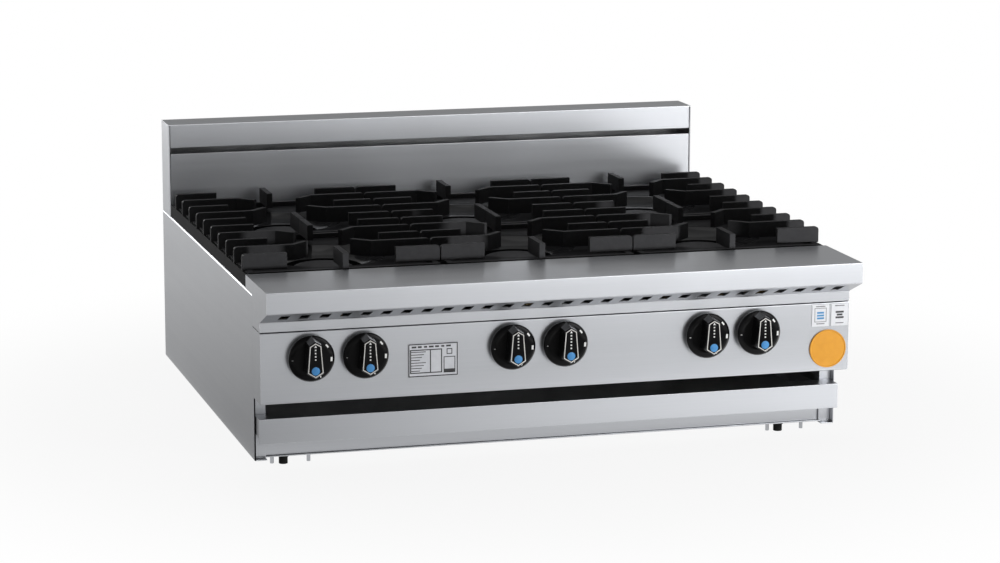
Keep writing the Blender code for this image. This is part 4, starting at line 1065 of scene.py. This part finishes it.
# %% Labels and badge
LABEL_BORDER = (0.0190, 0.0215, 0.0009)
LABEL_BORDER_RISE = 0.0008
LABEL_LINES = ((0.0138, 0.0150), (-0.0125, 0.0130))
LABEL_LINE_HEIGHT = 0.0015
LABEL_BARS = {"left": (0.0110, 0.0110, 0.0110), "right": (0.0130, 0.0090, 0.0130)}
LABEL_BAR_TOP = 0.0042
LABEL_BAR_PITCH = 0.0042
LABEL_BAR_HEIGHT = 0.0028
BADGE_EASE = 0.0006
BADGE_RIM = 0.0018
BADGE_STEP = (0.0026, 0.0007)
BADGE_DOME = ((0.6, 0.0004), (0.25, 0.0002))
BADGE_POINTS = 96
BADGE_SHARP = 30.0


def print_labels():
    """Short lines and plain bars of colour on each film label, with a border on the left one."""
    for side, ink, slot in (("left", LABEL_BLUE, "blue_ink"), ("right", BLACK_INK, "black_ink")):
        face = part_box(f"label_{side}")[0].y
        centre = middle_of(f"label_{side}")
        lines = empty_mesh(f"label_{side}_lines")
        if side == "left":
            add_frame(centre.x, face, centre.z + LABEL_BORDER_RISE, *LABEL_BORDER)
        for rise, width in LABEL_LINES:
            add_plane(centre.x, face, centre.z + rise, width, LABEL_LINE_HEIGHT)
        hand_over(thicken(lines), "casing", "black_ink", GREY_INK)
        bars = empty_mesh(f"label_{side}_bars")
        for index, width in enumerate(LABEL_BARS[side]):
            rise = LABEL_BAR_TOP - index * LABEL_BAR_PITCH
            add_plane(centre.x, face, centre.z + rise, width, LABEL_BAR_HEIGHT)
        hand_over(thicken(bars), "casing", slot, ink)


def mould_badge():
    """Orange disc with a raised rim and a shallow dome inside it."""
    low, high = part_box("badge_disc")
    centre = (low + high) / 2
    rim = (high.x - low.x) / 2
    face = low.y - high.y
    profile = [(rim, 0.0), (rim, face + BADGE_EASE), (rim - BADGE_EASE, face), (rim - BADGE_RIM, face),
               (rim - BADGE_STEP[0], face + BADGE_STEP[1])]
    profile += [(rim * share, face + sink) for share, sink in BADGE_DOME]
    disc = turned("badge_disc_skin", (centre.x, high.y, centre.z), "Y", profile, BADGE_POINTS)
    shade(disc, BADGE_SHARP)
    return hand_over(disc, "casing", "orange_plastic", ORANGE, "badge_disc")


print_labels()
print("badge faces:", len(mould_badge().data.polygons))

# %% [markdown]
# ## Fixings, feet and gas pipe
# Pan-head screws hold the base panel and the control panel from below. One is turned, a cross is cut into
# its head with a Boolean modifier, and it is copied along the edges. The feet are moulded rubber, and the
# gas rail behind the panel is brass pipe.

# %% Screws
SCREW_RADIUS = 0.0042
SCREW_HEAD = 0.0026
SCREW_SIDE_SHARE = 0.35
SCREW_DOME_ANGLES = (0.5, 0.9, 1.2)
SCREW_CROSS = (0.0052, 0.0011, 0.0016)
SCREW_POINTS = 24
SCREW_SHARP = 40.0
SIDE_BELOW_BASE = 0.0018
BASE_SCREWS = 8
BASE_SCREW_FROM_END = 0.035
BASE_SCREW_FROM_FRONT = 0.012
PANEL_SCREW_FROM_END = 0.015
PANEL_SCREW_FROM_FRONT = 0.020
FOOT_EDGE_RADIUS = 0.0008
PIPE_EDGE_RADIUS = 0.0004


def turn_screw(centre):
    """A pan head that points down, with a cross recess."""
    dome = 1 - SCREW_SIDE_SHARE
    profile = [(SCREW_RADIUS, 0.0), (SCREW_RADIUS, -SCREW_HEAD * SCREW_SIDE_SHARE)]
    profile += [(SCREW_RADIUS * math.cos(t), -SCREW_HEAD * (SCREW_SIDE_SHARE + dome * math.sin(t)))
                for t in SCREW_DOME_ANGLES]
    screw = turned("screw_blank", centre, "Z", profile, SCREW_POINTS)
    cross = empty_mesh("cross_blank")
    length, width, depth = SCREW_CROSS
    place = (centre[0], centre[1], centre[2] - SCREW_HEAD)
    for size in ((length, width, depth), (width, length, depth)):
        bpy.ops.mesh.primitive_cube_add(size=1.0, location=place)
        bpy.ops.transform.resize(value=size, center_override=place)
    bpy.ops.object.mode_set(mode="OBJECT")
    apply_modifier(screw, "BOOLEAN", operation="DIFFERENCE", object=cross, use_self=True)
    bpy.data.objects.remove(cross)
    shade(screw, SCREW_SHARP)
    return screw


def fit_screws():
    """Screws along the underside of the base panel and at the ends of the control panel."""
    low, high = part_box("base_front_panel")
    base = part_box("left_side_panel")[0].z + SIDE_BELOW_BASE
    pitch = (high.x - low.x - 2 * BASE_SCREW_FROM_END) / (BASE_SCREWS - 1)
    places = [(low.x + BASE_SCREW_FROM_END + pitch * step, low.y + BASE_SCREW_FROM_FRONT, base)
              for step in range(BASE_SCREWS)]
    low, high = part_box("control_panel")
    places += [(x, low.y + PANEL_SCREW_FROM_FRONT, low.z)
               for x in (low.x + PANEL_SCREW_FROM_END, high.x - PANEL_SCREW_FROM_END)]
    blank = turn_screw(places[0])
    for index, place in enumerate(places):
        screw = copy_to(blank, f"screw_{index:02d}", Vector(place) - Vector(places[0]))
        hand_over(screw, "casing", "spindle_steel", SPINDLE_STEEL)
    bpy.data.objects.remove(blank)
    return len(places)


for row in ROWS:
    for side in SIDES:
        soften(f"foot_{row}_{side}", RUBBER, radius=FOOT_EDGE_RADIUS)
soften("gas_manifold", BRASS, radius=PIPE_EDGE_RADIUS)
print("screws:", fit_screws())

# %% [markdown]
# ## Studio
# The object stands in white: the floor is white and fades into a white surround, and only a soft shadow
# under the object tells where the floor is. The world is white to the camera and to reflections, and
# dimmer as a source of light.

# %% Floor and world
FLOOR_LEVEL = 0.25
FLOOR_SIZE = 30.0
FLOOR_COLOUR = (0.86, 0.86, 0.86, 1.0)
FLOOR_FADE = (0.45, 1.2)
FLOOR_GLOW_NEAR = 0.90
WORLD_LEVEL = 0.04
WHITE = (1.0, 1.0, 1.0, 1.0)


def seen_directly(tree):
    """1 for rays from the camera, mirrors and glass, 0 for rays that only carry light."""
    path = tree.nodes.new("ShaderNodeLightPath").outputs
    seen = path["Is Camera Ray"]
    for kind in ("Is Transmission Ray", "Is Glossy Ray"):
        seen = put(tree, "Math", _operation="MAXIMUM", i0=seen, i1=path[kind]).outputs[0]
    return seen


def lay_floor():
    """A white floor that takes the object's shadow and fades into the surround."""
    bpy.ops.object.select_all(action="DESELECT")
    bpy.ops.mesh.primitive_plane_add(size=FLOOR_SIZE, location=(0, 0, 0))
    floor = bpy.context.object
    floor.name = "studio_floor"
    surface, tree, shader, spot = new_finish("studio_white", Base__Color=FLOOR_COLOUR, Roughness=0.9,
                                             Specular__IOR__Level=0.0)
    distance = put(tree, "VectorMath", _operation="LENGTH", i0=spot)
    fade = put(tree, "MapRange", _interpolation_type="SMOOTHSTEP", Value=distance.outputs["Value"],
               From__Min=FLOOR_FADE[0], From__Max=FLOOR_FADE[1], To__Min=FLOOR_GLOW_NEAR)
    level = spread(tree, seen_directly(tree), FLOOR_LEVEL, 1.0)
    glow = put(tree, "Emission", Color=WHITE, Strength=level)
    mixed = put(tree, "MixShader", i0=fade.outputs["Result"], i1=shader.outputs[0], i2=glow.outputs[0])
    feed(tree, tree.nodes["Material Output"], Surface=mixed.outputs[0])
    floor.data.materials.append(surface)


def light_world():
    """White to the camera and to mirrors, dimmer as a light."""
    world = bpy.data.worlds.new("studio_surround")
    bpy.context.scene.world = world
    world.use_nodes = True
    tree = world.node_tree
    tree.nodes.clear()
    soft = put(tree, "Background", Color=WHITE, Strength=WORLD_LEVEL)
    white = put(tree, "Background", Color=WHITE, Strength=1.0)
    mixed = put(tree, "MixShader", i0=seen_directly(tree), i1=soft.outputs[0], i2=white.outputs[0])
    put(tree, "OutputWorld", Surface=mixed.outputs[0])


lay_floor()
light_world()
print("floor", FLOOR_SIZE, "m across")

# %% [markdown]
# Two lamps light the object. The key is a small box, low in front on the right, that lights the prints,
# the badge and the ends of the castings. On steel it would show as a hard spot, so reflections don't see
# it. A wide soft lamp hangs above and lifts the tops.

# %% Lamps
TARGET = Vector((0.0, 0.0, 0.22))


def add_softbox(name, place, size, power):
    """A rectangular area lamp that faces the object."""
    lamp = bpy.data.lights.new(name, "AREA")
    lamp.shape = "RECTANGLE"
    lamp.size, lamp.size_y = size
    lamp.energy = power
    holder = bpy.data.objects.new(name, lamp)
    holder.location = place
    holder.rotation_euler = (TARGET - Vector(place)).to_track_quat("-Z", "Y").to_euler()
    bpy.context.scene.collection.objects.link(holder)
    return holder


KEY = add_softbox("key_softbox", place=(1.58, -2.54, 0.24), size=(0.25, 0.06), power=57.0)
KEY.visible_glossy = False
TOP = add_softbox("top_softbox", place=(0.2, 0.2, 3.2), size=(2.2, 2.2), power=16.0)
print("lamps:", KEY.name, TOP.name)

# %% [markdown]
# Steel shows what stands round it, so a photographer sets cards where the metal should go dark or bright.
# Only reflections see these cards. A tall one in front brightens towards the right for the splashback. A
# grey one behind shades the flat tops, with a bright one beside it on the left for the side sheet's hem,
# and another stands far to the left. Four lie on the floor, for the side sheet, the front bars, the
# control panel and the ledge's nose, and most of them change from left to right.

# %% Cards
SIDEWAYS = (0, math.pi / 2, 0)
LYING = (0, 0, 0)
CARDS = (
    # name, place, size, tilt, axis of the change, levels at its ends, ends
    ("front_card", (-0.35, -1.9, 1.55), (4.7, 2.1), FORWARD, "X", (0.50, 6.6), (0.05, 1.15)),
    ("back_card", (0.975, 1.3, 0.9), (3.05, 1.8), FORWARD, "X", (0.30, 0.40), (-0.6, 1.2)),
    ("hem_card", (-1.1, 1.35, 0.75), (0.9, 0.8), FORWARD, "X", (6.0, 6.0), (-2.0, -1.0)),
    ("left_card", (-3.0, -0.5, 0.5), (1.0, 2.0), SIDEWAYS, "X", (2.0, 2.0), (-4.0, -3.0)),
    ("side_card", (-0.96, 1.2, 0.004), (1.0, 3.6), LYING, "Y", (0.38, 0.92), (0.0, 2.2)),
    ("bar_card", (0.0, -0.65, 0.004), (3.0, 0.40), LYING, "X", (0.48, 2.6), (-0.45, 0.75)),
    ("panel_card", (0.0, -1.15, 0.004), (3.6, 0.6), LYING, "X", (0.95, 0.05), (-0.45, 0.75)),
    ("nose_card", (0.0, -2.4, 0.004), (5.0, 1.9), LYING, "X", (0.30, 4.0), (-0.45, 0.9)),
)


def add_card(name, place, size, tilt, axis, levels, ends):
    """A card that only reflections see, with its brightness graded along an axis."""
    bpy.ops.object.select_all(action="DESELECT")
    bpy.ops.mesh.primitive_plane_add(size=1.0, location=place, rotation=tilt)
    card = bpy.context.object
    card.name = name
    card.scale = (size[0], size[1], 1.0)
    bpy.ops.object.transform_apply(location=True, rotation=True, scale=True)
    surface, tree, _, spot = new_finish(name)
    side = put(tree, "SeparateXYZ", Vector=spot)
    grade = put(tree, "MapRange", Value=side.outputs[axis], From__Min=ends[0], From__Max=ends[1],
                To__Min=levels[0], To__Max=levels[1])
    glow = put(tree, "Emission", Color=WHITE, Strength=grade.outputs["Result"])
    feed(tree, tree.nodes["Material Output"], Surface=glow.outputs[0])
    card.data.materials.append(surface)
    card.visible_camera = False
    card.visible_diffuse = False
    card.visible_shadow = False
    card.visible_transmission = False


for card in CARDS:
    add_card(*card)
print("cards:", len(CARDS))

# %% [markdown]
# ## Camera
# The picture was taken from the front left with a long lens, so the sides hardly converge. Its direction,
# its height and its lens were worked out from corners whose places are known on the solids.

# %% Camera
CAMERA_PLACE = Vector((-1.33137, -4.76227, 1.16280))
CAMERA_DEGREES = (78.9824, -0.0951, -15.7256)
CAMERA_LENS = 115.2026
SENSOR_WIDTH = 36.0
FAR_CLIP = 100.0


def place_camera():
    """Camera at the photograph's place, turned and with its lens."""
    lens = bpy.data.cameras.new("photo_camera")
    lens.lens = CAMERA_LENS
    lens.sensor_width = SENSOR_WIDTH
    lens.clip_end = FAR_CLIP
    camera = bpy.data.objects.new("photo_camera", lens)
    turn = Euler([math.radians(angle) for angle in CAMERA_DEGREES])
    camera.matrix_world = Matrix.LocRotScale(CAMERA_PLACE, turn, None)
    bpy.context.scene.collection.objects.link(camera)
    bpy.context.scene.camera = camera
    return camera


CAMERA = place_camera()
bpy.context.scene.view_settings.view_transform = "Standard"
print("camera at", [round(value, 2) for value in CAMERA.location])
